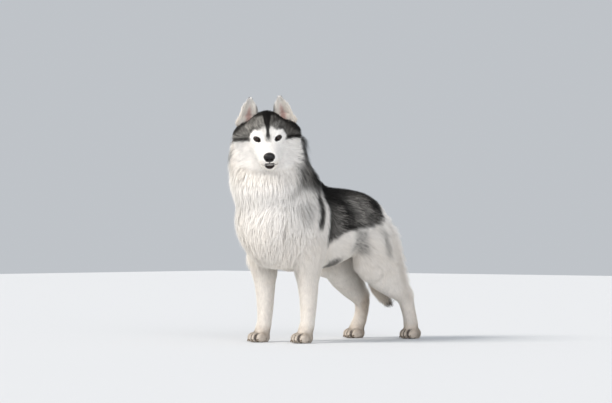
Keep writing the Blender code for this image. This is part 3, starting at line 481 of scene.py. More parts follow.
# How deep the coat is and which way it lies, by ramps between places in metres
def coat_depth(p):
    """Depth of the coat at each point, in metres."""
    q = to_head(p)
    y, z = p[:, 1], p[:, 2]
    depth = np.full(len(p), 0.017)
    front = ramp(y, 0.13, 0.05) * ramp(z, 0.45, 0.53)
    chest = ramp(y, 0.02, -0.05) * ramp(z, 0.27, 0.34)
    depth += 0.010 * np.maximum(front, chest) * (1 - ramp(z, 0.690, 0.735))
    depth += 0.010 * breeches(p)
    below = ramp(z, 0.34, 0.28) * ramp(y, 0.10, 0.16) * ramp(y, 0.34, 0.28)
    depth -= 0.004 * below
    legs = ramp(z, 0.335, 0.215)
    depth = depth * (1 - legs) + 0.0055 * legs
    hind = ramp(z, 0.34, 0.22) * ramp(y, 0.30, 0.36)
    depth += 0.012 * breeches(p) * hind
    feet = ramp(z, 0.080, 0.045)
    depth = depth * (1 - feet) + 0.0030 * feet
    tail = on_tail(p)
    _, along = to_tail(p)
    depth = depth * (1 - tail) + (0.021 - 0.010 * ramp(along, 5.5, 7.0)) * tail
    head = near_head(q)
    side = np.abs(q[:, 0])
    face = 0.0070 + 0.010 * ramp(side, 0.052, 0.088) * ramp(q[:, 2], 0.035, -0.010)
    face += 0.012 * ramp(q[:, 1], 0.010, 0.070)
    face += 0.006 * ramp(q[:, 2], -0.045, -0.072) * ramp(q[:, 1], -0.070, -0.020)
    muzzle = ramp(q[:, 1], -0.030, -0.062)
    face = face * (1 - muzzle) + 0.0032 * muzzle
    eye = np.linalg.norm(np.stack([side, q[:, 1], q[:, 2]], 1) - EYE_PLACE, axis=1)
    face = face * (1 - ramp(eye, 0.036, 0.016)) + 0.0013 * ramp(eye, 0.036, 0.016)
    return depth * (1 - head) + face * head


def coat_lie(p, n):
    """The direction of the hairs at each point, along the skin."""
    q = to_head(p)
    x, y, z = p[:, 0], p[:, 1], p[:, 2]
    side = np.sign(x)
    rows = len(p)

    def way(a, b, c):
        return np.stack([np.broadcast_to(v, rows) for v in (a, b, c)], 1).astype(float)

    lie = way(0.10 * side, 1, -0.42 * ramp(z, 0.58, 0.50))
    front = ramp(y, 0.17, 0.09)
    lie = mix(lie, way(0.12 * side, 0.22, -1), front)
    chest = ramp(y, 0.01, -0.06) * ramp(z, 0.60, 0.54)
    lie = mix(lie, way(-0.7 * x / 0.14, 0.08, -1), chest)
    neck = ramp(z, 0.50, 0.57) * ramp(y, 0.15, 0.07)
    back = ramp(neck_facing(p), 0.25, -0.55)
    turned = -0.50 * ramp(z, 0.58, 0.72)
    lie = mix(lie, mix(way(0, 0.10, -1), way(turned, 0.62, -0.85), back), neck)
    thigh = ramp(y, 0.30, 0.40) * ramp(z, 0.47, 0.40)
    lie = mix(lie, way(0, 0.62, -0.85), thigh)
    lie = mix(lie, way(0.10 * side, 1.0, -0.75 * ramp(z, 0.46, 0.34)), breeches(p))
    legs = ramp(z, 0.33, 0.26)
    hind = ramp(y, 0.28, 0.34)
    shin = np.where(z > 0.16, 0.55, 0.20)
    lie = mix(lie, mix(way(0, 0.12, -1), way(0, shin, -1), hind), legs * (1 - on_tail(p)))
    feet = ramp(z, 0.062, 0.038)
    lie = mix(lie, way(0, -1, -0.25), feet)
    _, along = to_tail(p)
    down = way(0, -0.05 + 0.9 * ramp(along, 4.2, 6.0), -1)
    lie = mix(lie, down, on_tail(p))
    away = unit(q - np.array([0, -0.138, -0.012])) + np.array([0, 0.30, 0])
    away[:, 2] -= 0.55 * ramp(np.abs(q[:, 0]), 0.045, 0.085) * ramp(q[:, 2], 0.03, -0.01)
    away[:, 2] -= 0.90 * ramp(q[:, 1], 0.030, 0.080)
    lie = mix(unit(lie), unit(away) @ HEAD_AXES.T, near_head(q))
    lie = lie - n * np.sum(lie * n, axis=1, keepdims=True)
    return unit(lie)


# Markings, alike on the skin and on the coat. The numbers in a ramp are places in
# metres, of head space for the face and of the stations' space for the body.
def face_colour(q, wander):
    """Colours of the head at points of head space."""
    side = np.abs(q[:, 0] - 0.002)
    up = 0.342 * q[:, 1] + 0.940 * q[:, 2] + 0.10 * wander[:, 0] * 0.02
    side = side + 0.002 * wander[:, 1]
    speck = noise(q * (1, 0.5, 0.5), 0.0045, 12)
    left = ramp(q[:, 0], -0.01, 0.01)
    # Grey forehead between the stripe and the cap, darker on the left
    shade = mix(BEIGE, GREY, 0.20 + 0.65 * left)
    cloud = 0.26 + 0.35 * wander[:, 1] + 0.45 * speck + 0.16 * left
    cloud += 0.26 * ramp(up, 0.055, 0.080) + 0.35 * left * ramp(side, 0.045, 0.075)
    cloud = np.clip(cloud, 0, 0.95)
    shade = mix(shade, DARK_GREY, cloud)
    brow = 0.036 + 0.010 * ramp(side, 0.030, 0.012) - 0.012 * ramp(side, 0.050, 0.066)
    brow = brow - 0.024 * ramp(side, 0.058, 0.076) + 0.003 * speck
    cap = ramp(up, brow - 0.006, brow + 0.008)
    colour = mix(WHITE, shade, cap)
    # Dark rim of the cap, from the ears down to a point level with the eyes
    below = 0.122 - 0.76 * side - up
    rim = ramp(below, 0.008 + 0.014 * left, 0.002 + 0.006 * left) * ramp(up, 0.006, 0.018)
    rim = rim * ramp(side, 0.020, 0.040)
    point = np.abs(up - 0.005 - 0.10 * (side - 0.066)) / 0.0080
    streak = ramp(point + 0.5 * speck, 1.1, 0.5) * ramp(side, 0.058, 0.070)
    streak = streak * (0.75 + 0.25 * left)
    arch = np.abs(up - brow - 0.006) / 0.006
    band = ramp(arch, 1.2, 0.5) * ramp(side, 0.022, 0.050)
    crown = ramp(up, 0.079, 0.089) * ramp(side, 0.075, 0.050)
    dark = np.maximum.reduce([rim, streak, 0.75 * band, crown])
    colour = mix(colour, BLACK, dark * 0.95)
    # Median stripe down to between the eyes
    half = 0.0050 + 0.0085 * ramp(up, 0.030, 0.090)
    stripe = ramp(side, half + 0.003, half - 0.002) * ramp(up, -0.012, 0.012)
    stripe = stripe * ramp(q[:, 1], -0.085, -0.055)
    colour = mix(colour, BLACK, stripe * 0.95)
    flare = ramp(side, 0.016, 0.006) * ramp(np.abs(up - 0.004), 0.020, 0.006)
    colour = mix(colour, GREY, 0.55 * flare * (1 - stripe))
    # Behind the ears all is dark
    nape = ramp(q[:, 1], 0.052, 0.075) * ramp(up, -0.010, 0.020)
    colour = mix(colour, BLACK, nape * 0.92)
    # Warm cream on the furred lips, then the bare skin of their edge
    lips = ramp(q[:, 1], -0.100, -0.140) * ramp(q[:, 2], -0.020, -0.036)
    colour = mix(colour, CREAM, 0.35 * lips)
    return mix(colour, LIP, bare_lips(q))


def bare_lips(q):
    """1 on the bare dark skin of the lips, under the nose and in the groove between."""
    side, z = np.abs(q[:, 0]), q[:, 2] + 0.0005 * noise(q, 0.003, 12)
    front = ramp(q[:, 1], -0.112, -0.124)
    upper = ramp(np.abs(z + 0.0376), 0.0036, 0.0022) * ramp(side, 0.0190, 0.0140)
    upper = 0.9 * upper * ramp(side, 0.0010, 0.0040)
    low = -0.0450 - 0.0120 * (1 - np.clip(side / 0.0185, 0, 1) ** 2.2)
    lower = ramp(z, low - 0.0010, low + 0.0010) * ramp(z, -0.0426, -0.0438)
    groove = ramp(side, 0.0016, 0.0008) * ramp(np.abs(z + 0.032), 0.009, 0.007)
    between = 0.66 * ramp(np.abs(z + 0.0415), 0.0052, 0.0030) * ramp(side, 0.0170, 0.0130)
    upper = np.maximum(upper, between)
    place = np.array(NOSE_PLACE) + (0, 0.002, 0)
    nose = ramp(np.linalg.norm((q - place) / np.array(NOSE_REACH), axis=1), 1.10, 1.02)
    lips = front * np.maximum.reduce([upper, lower * ramp(side, 0.0180, 0.0150), groove])
    return np.maximum(lips, nose)


# The lower edge of the dark saddle: places from front to back, and the height at each
SADDLE_Y = (0.090, 0.105, 0.150, 0.188, 0.241, 0.287, 0.360, 0.405, 0.435, 0.462, 0.490)
SADDLE_Z = (0.345, 0.338, 0.366, 0.386, 0.396, 0.402, 0.411, 0.417, 0.440, 0.468, 0.600)


def saddle_light(p):
    """How much grey hair the dark saddle holds: patches between its black bands."""
    y = p[:, 1] + 0.008 * noise(p, 0.035, 9)
    z = p[:, 2] + 0.008 * noise(p, 0.028, 10)
    front = ramp(np.abs(y - 0.148), 0.044, 0.026) * ramp(z, 0.352, 0.385)
    front = front * ramp(z, 0.505, 0.465)
    middle = ramp(np.abs(y - 0.290), 0.078, 0.054) * ramp(z, 0.404, 0.425)
    middle = middle * ramp(z, 0.532, 0.500)
    band = ramp(np.abs(y - 0.206 - 0.12 * (0.47 - z)), 0.010, 0.022)
    blotch = ramp(np.abs(y - 0.322), 0.020, 0.006) * ramp(np.abs(z - 0.445), 0.045, 0.020)
    rear = ramp(np.abs(y - 0.380), 0.032, 0.012) * ramp(np.abs(z - 0.452), 0.034, 0.014)
    patches = 0.25 + 0.75 * ramp(noise(p * (1, 0.7, 1.3), 0.022, 8), -0.7, 0.5)
    light = np.maximum(0.50 * front, 0.9 * middle * patches * (1 - 0.75 * blotch))
    return band * np.maximum(light, 0.50 * rear * patches)


def coat_colour(p):
    """Colour of the coat's tips at each point of the body."""
    wander = np.stack([noise(p, 0.030, 1), noise(p, 0.014, 2)], axis=1)
    fine = noise(p, 0.007, 3)
    x, y, z = np.abs(p[:, 0]), p[:, 1], p[:, 2]
    y = y + 0.008 * wander[:, 0]
    z = z + 0.007 * wander[:, 1]
    colour = mix(WHITE, CREAM, 0.30 * ramp(z, 0.46, 0.30) + 0.15 * wander[:, 0] ** 2)
    # Shoulder smudge and the slanting streak on the neck
    smudge = ramp(np.abs(y + 0.010), 0.055, 0.012) * ramp(np.abs(z - 0.450), 0.070, 0.020)
    colour = mix(colour, GREY, 0.30 * smudge * ramp(x, 0.09, 0.12))
    line = np.abs(y + 0.050 - 0.87 * (z - 0.538))
    streak = ramp(line, 0.026, 0.008) * ramp(z, 0.48, 0.51) * ramp(z, 0.61, 0.57)
    colour = mix(colour, GREY, 0.38 * streak * ramp(x, 0.08, 0.11))
    # Saddle, with its grey patches
    low = np.interp(y, SADDLE_Y, SADDLE_Z)
    low = np.where(y > 0.40, low + (0.440 - low) * ramp(x, 0.066, 0.040), low)
    saddle = ramp(z, low - 0.008, low + 0.006) * ramp(y, 0.100, 0.116)
    lean = ramp(z, 0.500, 0.575)
    saddle = np.maximum(saddle, lean * ramp(y, -0.010, 0.045) * ramp(z, 0.48, 0.52))
    mottle = np.clip(0.62 + 0.55 * fine + 0.35 * wander[:, 0], 0, 1)
    dorsal = mix(BLACK, GREY, 0.85 * saddle_light(p) * mottle)
    colour = mix(colour, dorsal, saddle)
    # Thin dark line in front of the cream stripe
    line = p[:, 1] - 0.066 - 0.16 * (z - 0.46) + 0.004 * wander[:, 1]
    thin = ramp(np.abs(line), 0.017, 0.011) * ramp(z, 0.385, 0.420)
    thin = thin * np.maximum(ramp(x, 0.05, 0.08), ramp(z, 0.48, 0.52))
    colour = mix(colour, BLACK, 0.95 * thin * (1 - saddle))
    # Painted shade in the fold between the flank and the front of the thigh, and a painted shade
    # streak on the breeches in front of the tail
    flank = ramp(np.abs(y - 0.310), 0.055, 0.020) * ramp(np.abs(z - 0.352), 0.062, 0.032)
    colour = mix(colour, GREY, 0.50 * flank * ramp(x, 0.07, 0.10) * (1 - saddle))
    shade = np.abs(y + 0.012 * wander[:, 1] - 0.425 - 0.25 * (0.36 - z))
    shade = ramp(shade, 0.032, 0.006) * ramp(np.abs(z - 0.350), 0.072, 0.030)
    colour = mix(colour, GREY, 0.45 * shade * ramp(x, 0.05, 0.08))
    # Painted shade on the underside of the belly, tan backs of the hocks, tan feet and painted
    # shade in the gaps between the toes
    # Painted shade: a dark patch on the underside of the belly between the legs
    spot = ramp(np.abs(y - 0.215), 0.060, 0.025) * ramp(x, 0.115, 0.070) * ramp(z, 0.31, 0.275)
    colour = mix(colour, DARK_GREY, 0.75 * spot)
    shin = paw_space(p)
    hock = ramp(z, 0.185, 0.135) * ramp(y, 0.35, 0.40)
    behind = ramp(shin[:, 1] + 0.010 * wander[:, 1], 0.000, 0.030)
    colour = mix(colour, TAN, hock * (0.10 + 0.45 * behind))
    feet = ramp(z, 0.070, 0.030)
    colour = mix(colour, TAN, 0.42 * feet)
    # Painted shade in the gaps between the toes
    between = np.abs(np.abs(shin[:, 0]) / TOE_STEP - 1)
    gaps = ramp(np.minimum(between, np.abs(shin[:, 0]) / 0.008), 0.35, 0.10)
    gaps = gaps * ramp(shin[:, 1], -0.016, -0.030) * ramp(z, 0.038, 0.028)
    colour = mix(colour, TOE_GAP_SHADE, 0.85 * gaps)
    # Tail
    _, along = to_tail(p)
    hanging = mix(BLACK, TAIL_BROWN, ramp(along, 1.2, 2.6))
    hanging = mix(hanging, TAIL_TIP, ramp(along, 6.2, 6.8))
    hanging = mix(hanging, CREAM, 0.45 * ramp(y, 0.545, 0.515) * ramp(along, 1.5, 2.5))
    colour = mix(colour, hanging, on_tail(p))
    # Neck: pale in front, dark along the nape
    facing = neck_facing(p) + 0.10 * wander[:, 0] + 0.05 * fine
    start = 0.42 - 0.16 * ramp(p[:, 2], 0.60, 0.68) + 0.40 * ramp(p[:, 2], 0.69, 0.72)
    nape = ramp(facing, start, start - 0.24) * ramp(p[:, 2], 0.520, 0.565)
    nape = np.maximum(nape, ramp(p[:, 2], 0.725, 0.750))
    nape = nape * ramp(y, 0.30, 0.20)
    throat = mix(WHITE, CREAM, 0.20 + 0.15 * wander[:, 0])
    neck = ramp(p[:, 2], 0.53, 0.57) * ramp(p[:, 1], 0.10, 0.04)
    neck = neck * (1 - nape) * (1 - streak) * (1 - thin)
    colour = mix(colour, throat, neck * 0.8)
    colour = mix(colour, BLACK, nape * 0.90)
    q = to_head(p)
    colour = mix(colour, face_colour(q, wander), near_head(q))
    return np.clip(colour * (1 + 0.07 * fine[:, None]), 0, 1)


# Nodes and materials
def add_node(tree, kind, settings=None, links=None, **inputs):
    """A node with its settings, its links and its unlinked values."""
    node = tree.nodes.new(kind)
    for key, value in (settings or {}).items():
        setattr(node, key, value)
    for key, value in inputs.items():
        node.inputs[key.replace("_", " ")].default_value = value
    for key, socket in (links or {}).items():
        tree.links.new(socket, node.inputs[key])
    return node


def new_material(name, colour, roughness, **values):
    """A Principled material; returns the material, its tree and its shader."""
    material = bpy.data.materials.new(name)
    material.use_nodes = True
    tree = material.node_tree
    shader = tree.nodes["Principled BSDF"]
    shader.inputs["Base Color"].default_value = (*colour, 1)
    shader.inputs["Roughness"].default_value = roughness
    for key, value in values.items():
        shader.inputs[key.replace("_", " ")].default_value = value
    return material, tree, shader


def colour_from_mesh(tree, shader):
    """Colour the shader by the colour that each vertex of the mesh holds."""
    paint = add_node(tree, "ShaderNodeAttribute", {"attribute_name": "coat_colour"})
    tree.links.new(paint.outputs["Color"], shader.inputs["Base Color"])


def raise_grain(tree, shader, kind, output, depth, strength, **values):
    """Give the surface a grain from a pattern in the object's own space."""
    place = add_node(tree, "ShaderNodeTexCoord")
    grain = add_node(tree, kind, links={"Vector": place.outputs["Object"]}, **values)
    bump = add_node(
        tree, "ShaderNodeBump", links={"Height": grain.outputs[output]},
        Strength=strength, Distance=depth,
    )
    tree.links.new(bump.outputs["Normal"], shader.inputs["Normal"])


def hair_material(name, roughness, sheen):
    """Hair: dry, scaly shafts with a soft, weak shine."""
    material, tree, shader = new_material(
        name, linear("#D8D2C8"), roughness,
        Specular_IOR_Level=0.09, Sheen_Weight=sheen, Sheen_Roughness=0.45,
    )
    colour_from_mesh(tree, shader)
    return material


def skin_material():
    """Skin under short fur: matt, with the grain of hairs 1 to 2 mm apart."""
    material, tree, shader = new_material(
        "skin with short fur", linear("#D8D2C8"), 0.80, Specular_IOR_Level=0.20
    )
    colour_from_mesh(tree, shader)
    raise_grain(
        tree, shader, "ShaderNodeTexNoise", "Fac", 0.0010, 0.5, Scale=700.0, Detail=3.0
    )
    return material


def leather_material(name, colour, roughness, size):
    """Bare nose or pad skin: dark, pebbled, moist; size is a pebble in metres."""
    material, tree, shader = new_material(
        name, tuple(colour), roughness, Specular_IOR_Level=0.38
    )
    shader.inputs["Coat Weight"].default_value = 0.08
    shader.inputs["Coat Roughness"].default_value = 0.25
    raise_grain(
        tree, shader, "ShaderNodeTexVoronoi", "Distance", 0.0004, 0.6, Scale=1 / size
    )
    return material


def eye_material():
    """Wet eyeball: dark brown iris round a black pupil under a clear, glossy surface."""
    material, tree, shader = new_material("eye", linear("#2A160C"), 0.06)
    colour_from_mesh(tree, shader)
    return material


def horn_material():
    """Claw horn: grey brown keratin, satin and finely mottled."""
    material, tree, shader = new_material("claw horn", linear("#6E6152"), 0.42)
    place = add_node(tree, "ShaderNodeTexCoord")
    mottle = add_node(
        tree, "ShaderNodeTexNoise", links={"Vector": place.outputs["Object"]},
        Scale=900.0, Detail=2.0,
    )
    tones = add_node(tree, "ShaderNodeValToRGB", links={"Fac": mottle.outputs["Fac"]})
    tones.color_ramp.elements[0].color = (*linear("#54493E"), 1)
    tones.color_ramp.elements[1].color = (*linear("#93836F"), 1)
    tree.links.new(tones.outputs["Color"], shader.inputs["Base Color"])
    return material


# Making and finishing meshes
def ball(bm, centre, reach, turn=None, detail=3):
    """An ellipsoid of these reaches added to the bmesh."""
    place = Matrix.Translation(centre) @ (turn or Matrix.Identity(4))
    matrix = place @ Matrix.Diagonal((*reach, 1))
    return bmesh.ops.create_icosphere(bm, subdivisions=detail, radius=1, matrix=matrix)


def loft(bm, rings, place=None):
    """A closed body through rings of (centre, across, rise, width, below, above)."""
    loops, made = [], []
    for centre, across, rise, width, below, above, *roof in rings:
        circle = bmesh.ops.create_circle(bm, segments=RING_POINTS, radius=1)["verts"]
        for vert in circle:
            side, up = vert.co.x, vert.co.y
            reach = above if up > 0 else below
            if roof and up > 0:
                side = math.copysign(abs(side) ** roof[0], side)
                up = up ** roof[0]
            vert.co = centre + across * side * width + rise * up * reach
        made += circle
        loops.append(list({edge for vert in circle for edge in vert.link_edges}))
    for first, second in zip(loops, loops[1:]):
        bmesh.ops.bridge_loops(bm, edges=first + second)
    bmesh.ops.holes_fill(bm, edges=loops[0] + loops[-1], sides=0)
    if place is not None:
        bmesh.ops.transform(bm, matrix=place, verts=made)


def long_rings(stations, pointed=False):
    """Upright rings along Y from (y, half width, lowest z, highest z)."""
    rings = []
    for y, width, low, high in stations:
        middle = low + 0.52 * (high - low)
        centre = Vector((0, y, middle))
        ring = (centre, Vector((1, 0, 0)), Vector((0, 0, 1)), width)
        roof = 1 + 0.33 * min(1, max(0, (y + 0.034) / 0.034)) if pointed else 1
        rings.append((*ring, middle - low, high - middle, roof))
    return rings


def path_rings(points, sizes):
    """Rings square to a path; sizes are (half width, half depth, turn if any)."""
    rings = []
    for i, point in enumerate(points):
        before = points[max(i - 1, 0)]
        after = points[min(i + 1, len(points) - 1)]
        along = (after - before).normalized()
        width, depth, turn = (*sizes[i], 0)[:3]
        across = Vector((math.cos(turn), math.sin(turn), 0))
        rise = across.cross(along).normalized()
        rings.append((point, across, rise, width, depth, depth))
    return rings


def leg_rings(stations, paw):
    """Rings of a leg above its paw, mirrored for the right side."""
    side = 1 if paw.x > 0 else -1
    points = [Vector((paw.x + side * x, paw.y + y, z)) for x, y, z, _, _ in stations]
    return path_rings(points, [station[3:] for station in stations])


def toe_places(paw):
    """Centre and share of reach of each of the four toes, from the outside in."""
    toes = []
    for i in range(4):
        across = (i - 1.5) * TOE_STEP
        outer = abs(i - 1.5) > 1
        ahead = -PAW_LENGTH * (OUTER_TOE_AHEAD if outer else TOE_AHEAD)
        toes.append((paw + Vector((across, ahead, TOE_HEIGHT)), outer))
    return toes


def make_object(name, bm):
    """Turn the bmesh into an object with its faces pointing outward."""
    bmesh.ops.recalc_face_normals(bm, faces=bm.faces[:])
    mesh = bpy.data.meshes.new(name)
    bm.to_mesh(mesh)
    bm.free()
    obj = bpy.data.objects.new(name, mesh)
    bpy.context.scene.collection.objects.link(obj)
    return obj


def apply_modifiers(obj):
    """Bake the object's modifiers into its mesh."""
    graph = bpy.context.evaluated_depsgraph_get()
    mesh = bpy.data.meshes.new_from_object(obj.evaluated_get(graph))
    obj.modifiers.clear()
    obj.data = mesh
    return obj


def dress(obj, material, nodes=()):
    """Move a finished piece into the frame, give it its material and smooth shading, attach it to
    the root, and hide the solids it stands for.
    """
    obj.data.transform(Matrix.Translation(SHIFT))
    obj.data.materials.clear()
    obj.data.materials.append(material)
    obj.data.shade_smooth()
    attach(obj, "root")
    if nodes:
        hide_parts(*nodes)
    return obj


def mesh_points(mesh):
    """Vertex places of a mesh as rows."""
    points = np.empty(len(mesh.vertices) * 3, np.float32)
    mesh.vertices.foreach_get("co", points)
    return points.reshape(-1, 3).astype(float)


def mesh_normals(mesh):
    """Vertex normals of a mesh as rows."""
    normals = np.empty(len(mesh.vertices) * 3, np.float32)
    mesh.vertex_normals.foreach_get("vector", normals)
    return normals.reshape(-1, 3).astype(float)


def set_points(mesh, points):
    """Move a mesh's vertices to these rows."""
    mesh.vertices.foreach_set("co", points.astype(np.float32).ravel())
    mesh.update()


def set_colour(mesh, rows):
    """Give each vertex its colour."""
    layer = mesh.color_attributes.new("coat_colour", "FLOAT_COLOR", "POINT")
    full = np.concatenate([rows, np.ones((len(rows), 1))], axis=1)
    layer.data.foreach_set("color", full.astype(np.float32).ravel())


# The skin
def body_object():
    """Every plain form of the body, made one surface at the coat's tips."""
    bm = bmesh.new()
    loft(bm, long_rings(TRUNK))
    sizes = [(wide, deep, turn * HEAD_TURN) for *_, wide, deep, turn in NECK]
    loft(bm, path_rings([Vector(station[:3]) for station in NECK], sizes))
    loft(bm, long_rings(SKULL, pointed=True), HEAD)
    for place, reach in NAPE_BALLS:
        ball(bm, Vector(place), reach)
    for place, reach in HEAD_BALLS:
        for side in (-1, 1):
            made = ball(bm, mirrored(Vector(place), side), reach)["verts"]
            bmesh.ops.transform(bm, matrix=HEAD, verts=made)
    legs = (
        (FRONT_LEG, FRONT_LEFT, None), (FRONT_LEG, FRONT_RIGHT, None),
        (HIND_LEFT_LEG, HIND_LEFT, LEFT_STIFLE), (HIND_RIGHT_LEG, HIND_RIGHT, RIGHT_STIFLE),
    )
    for stations, paw, stifle in legs:
        loft(bm, leg_rings(stations, paw))
        ball(bm, paw + PAW_MIDDLE, PAW_REACH)
        for place, outer in toe_places(paw):
            ball(bm, place, OUTER_TOE_REACH if outer else TOE_REACH)
        if stifle:
            move, share = stifle
            ball(bm, paw + STIFLE + move, STIFLE_REACH * share)
    points = [Vector((0, y, z)) for y, z, _, _ in TAIL]
    loft(bm, path_rings(points, [station[2:] for station in TAIL]))
    obj = make_object("skin", bm)
    remesh = obj.modifiers.new("one skin", "REMESH")
    remesh.mode = "VOXEL"
    remesh.voxel_size = VOXEL
    soften = obj.modifiers.new("soften", "SMOOTH")
    soften.factor = 0.5
    soften.iterations = SOFTEN_ROUNDS
    return apply_modifiers(obj)


def divide_face(obj, inside):
    """Divide the edges inside a region of head space once more and even them out."""
    bm = bmesh.new()
    bm.from_mesh(obj.data)
    q = to_head(mesh_points(obj.data))
    chosen = inside(q)
    bm.verts.ensure_lookup_table()
    edges = [e for e in bm.edges if chosen[e.verts[0].index] and chosen[e.verts[1].index]]
    made = bmesh.ops.subdivide_edges(bm, edges=edges, cuts=1, use_grid_fill=True)
    verts = list({v for v in made["geom"] if isinstance(v, bmesh.types.BMVert)})
    for _ in range(3):
        bmesh.ops.smooth_vert(
            bm, verts=verts, factor=0.5, use_axis_x=True, use_axis_y=True, use_axis_z=True
        )
    bm.to_mesh(obj.data)
    bm.free()


def eye_axes(side):
    """The turn of the almond of the lids, slanting up and outward."""
    slant = Matrix.Rotation(math.radians(-13 * side), 3, "Y")
    out = Matrix.Rotation(math.radians(4 * side), 3, "Z")
    return np.array(out @ slant)


def lid_height(across):
    """Half height of the opening of the lids at a share of its half width."""
    return LID_HALF_HEIGHT * (1 - 0.25 * across**2)


def almond(q, side):
    """Distance outside the edge of the lids at each point, negative on the eye."""
    local = (q - np.array(mirrored(EYE_PLACE, side))) @ eye_axes(side)
    across = local[:, 0] / LID_HALF_WIDTH
    tall = lid_height(np.clip(across, -1, 1))
    edge = np.maximum(np.sqrt(across**2 + (local[:, 2] / tall) ** 2), 0.01)
    reach = np.hypot(local[:, 0], local[:, 2])
    return np.where(local[:, 1] < 0, reach * (1 - 1 / edge), 1.0)


def swelling(q, place, reach):
    """1 in the middle of a round form of the face, 0 outside it."""
    return ramp(np.linalg.norm((q - place) / reach, axis=1), 1.2, 0.2)


def sculpt_face(q):
    """Brows, whisker pads, sockets and the line of the mouth."""
    q = q.copy()
    for side in (-1, 1):
        brow = np.array(BROW_PLACE) * (side, 1, 1)
        q[:, 1] -= BROW_RISE * swelling(q, brow, BROW_REACH)
        pad = np.array(WHISKER_PLACE) * (side, 1, 1)
        rise = WHISKER_RISE * swelling(q, pad, WHISKER_REACH)
        q += unit(pad[None] * (1, 0.6, 0)) * rise[:, None]
        centre = np.array(mirrored(EYE_PLACE, side))
        gap = almond(q, side)
        reach = np.linalg.norm(q - centre, axis=1)
        lid = EYE_RADIUS * (1.09 + 0.05 * ramp(gap, 0.0, 0.004))
        wanted = np.where(gap < 0, EYE_RADIUS * 0.78, lid)
        share = ramp(gap, 0.013, 0.006)
        new = reach * (1 - share) + np.maximum(wanted, np.minimum(reach, wanted + 0.002)) * share
        new = np.where(gap < 0, wanted, new)
        q = centre + (q - centre) * (new / np.maximum(reach, 1e-6))[:, None]
    off = np.abs(q[:, 2] - mouth_height(q[:, 1]))
    close = ramp(off, 0.0030, 0.0006) * ramp(q[:, 1], -0.055, -0.075)
    q[:, 0] -= np.sign(q[:, 0]) * 0.0022 * close * ramp(np.abs(q[:, 0]), 0.004, 0.014)
    q[:, 1] += 0.0020 * close * ramp(q[:, 1], -0.130, -0.142)
    middle = ramp(np.abs(q[:, 0]), 0.0022, 0.0004) * ramp(q[:, 1], -0.132, -0.142)
    q[:, 1] += 0.0016 * middle * ramp(np.abs(q[:, 2] + 0.028), 0.012, 0.008)
    return q


def ear_half(up):
    """Half width of an ear at a share of its height: straight sides and a round tip."""
    along = np.clip((up + 0.24) / 1.24, 0, 0.999)
    sunk = np.clip(1 + 3 * (up + 0.24), 0.4, 1)
    return 0.5 * EAR_WIDTH * (1 - along**1.1) ** 0.62 * sunk


def ear_axes(side):
    """An ear's long axis, the way across it and the way its cup opens, in head space."""
    lean = Vector((-0.02 * side, 0.12, 1)).normalized()
    across = Vector((1, -0.10 * side, 0.10 * side)).normalized()
    forward = across.cross(lean).normalized()
    if forward.y > 0:
        forward.negate()
    return lean, across, forward


def ear_rings(side, rows=22):
    """Height by height: middle of the ear, half width, depth of the cup, share of the height."""
    lean, across, _ = ear_axes(side)
    rings = []
    for i in range(rows):
        height = EAR_HEIGHT * (i / (rows - 1) * 1.39 - 0.42)
        up = max(height / EAR_HEIGHT, 0)
        half = float(ear_half(height / EAR_HEIGHT)) - EAR_INSET
        centre = mirrored(EAR_ROOT, side) + lean * height - across * side * EAR_TURN_IN * up
        if height < 0:
            centre -= across * side * 0.35 * height
        cup = EAR_DEPTH * (1 - up) ** 0.8 * min(1, 0.35 + 2.2 * up)
        rings.append((centre, half, cup, up))
    return rings


def ear_bend(half, t):
    """How far the back of the ear curves forward at a share of its half width."""
    return EAR_BEND * half * (1 - t * t)


def add_ear(bm, side):
    """A pricked ear, cupped in front, with its root sunk in the skull."""
    around = 23
    _, across, forward = ear_axes(side)
    loops, made = [], []
    for centre, half, cup, up in ear_rings(side):
        ring = []
        thick = 0.0030 * (1 - up) + 0.0018
        for k in range(around):
            t = 2 * k / (around - 1) - 1
            ring.append(centre + across * half * t - forward * ear_bend(half, t))
        for k in range(around - 2, 0, -1):
            t = 2 * k / (around - 1) - 1
            bend = ear_bend(half, t)
            lip = thick * (1 - t * t) ** 0.4
            front = min(bend - thick, bend - lip) if up > 0.02 else bend * 0.2
            front = max(front, bend - cup) if up > 0.02 else front
            ring.append(centre + across * half * t * 0.97 - forward * front)
        verts = [bm.verts.new(point) for point in ring]
        made += verts
        loops.append([bm.edges.new((a, b)) for a, b in zip(verts, verts[1:] + verts[:1])])
    for first, second in zip(loops, loops[1:]):
        bmesh.ops.bridge_loops(bm, edges=first + second)
    bmesh.ops.holes_fill(bm, edges=loops[0] + loops[-1], sides=0)
    bmesh.ops.transform(bm, matrix=HEAD, verts=made)
    return made


def ear_colour(p, n, side):
    """White hair in the cup, pink skin low in it, dark rim and dark back."""
    lean, across, forward = (np.array(axis) for axis in ear_axes(side))
    local = to_head(p) - np.array(mirrored(EAR_ROOT, side))
    up = np.clip(local @ lean / EAR_HEIGHT, 0, 1)
    half = ear_half(up) + 0.0005
    over = (local @ across + side * EAR_TURN_IN * up) / half
    front = ramp((n @ HEAD_AXES) @ forward, -0.15, 0.15)
    back = mix(BLACK, DARK_GREY, up * 0.6)
    cup = mix(WHITE, CREAM, 0.6 * (1 - up))
    deep = ramp(np.abs(over), 0.60, 0.20) * ramp(up, 0.60, 0.20)
    cup = mix(cup, PINK, 0.65 * deep)
    rim = ramp(-over * side, 0.74, 0.90)
    cup = mix(cup, DARK_GREY, 0.80 * rim)
    return mix(back, cup, front)


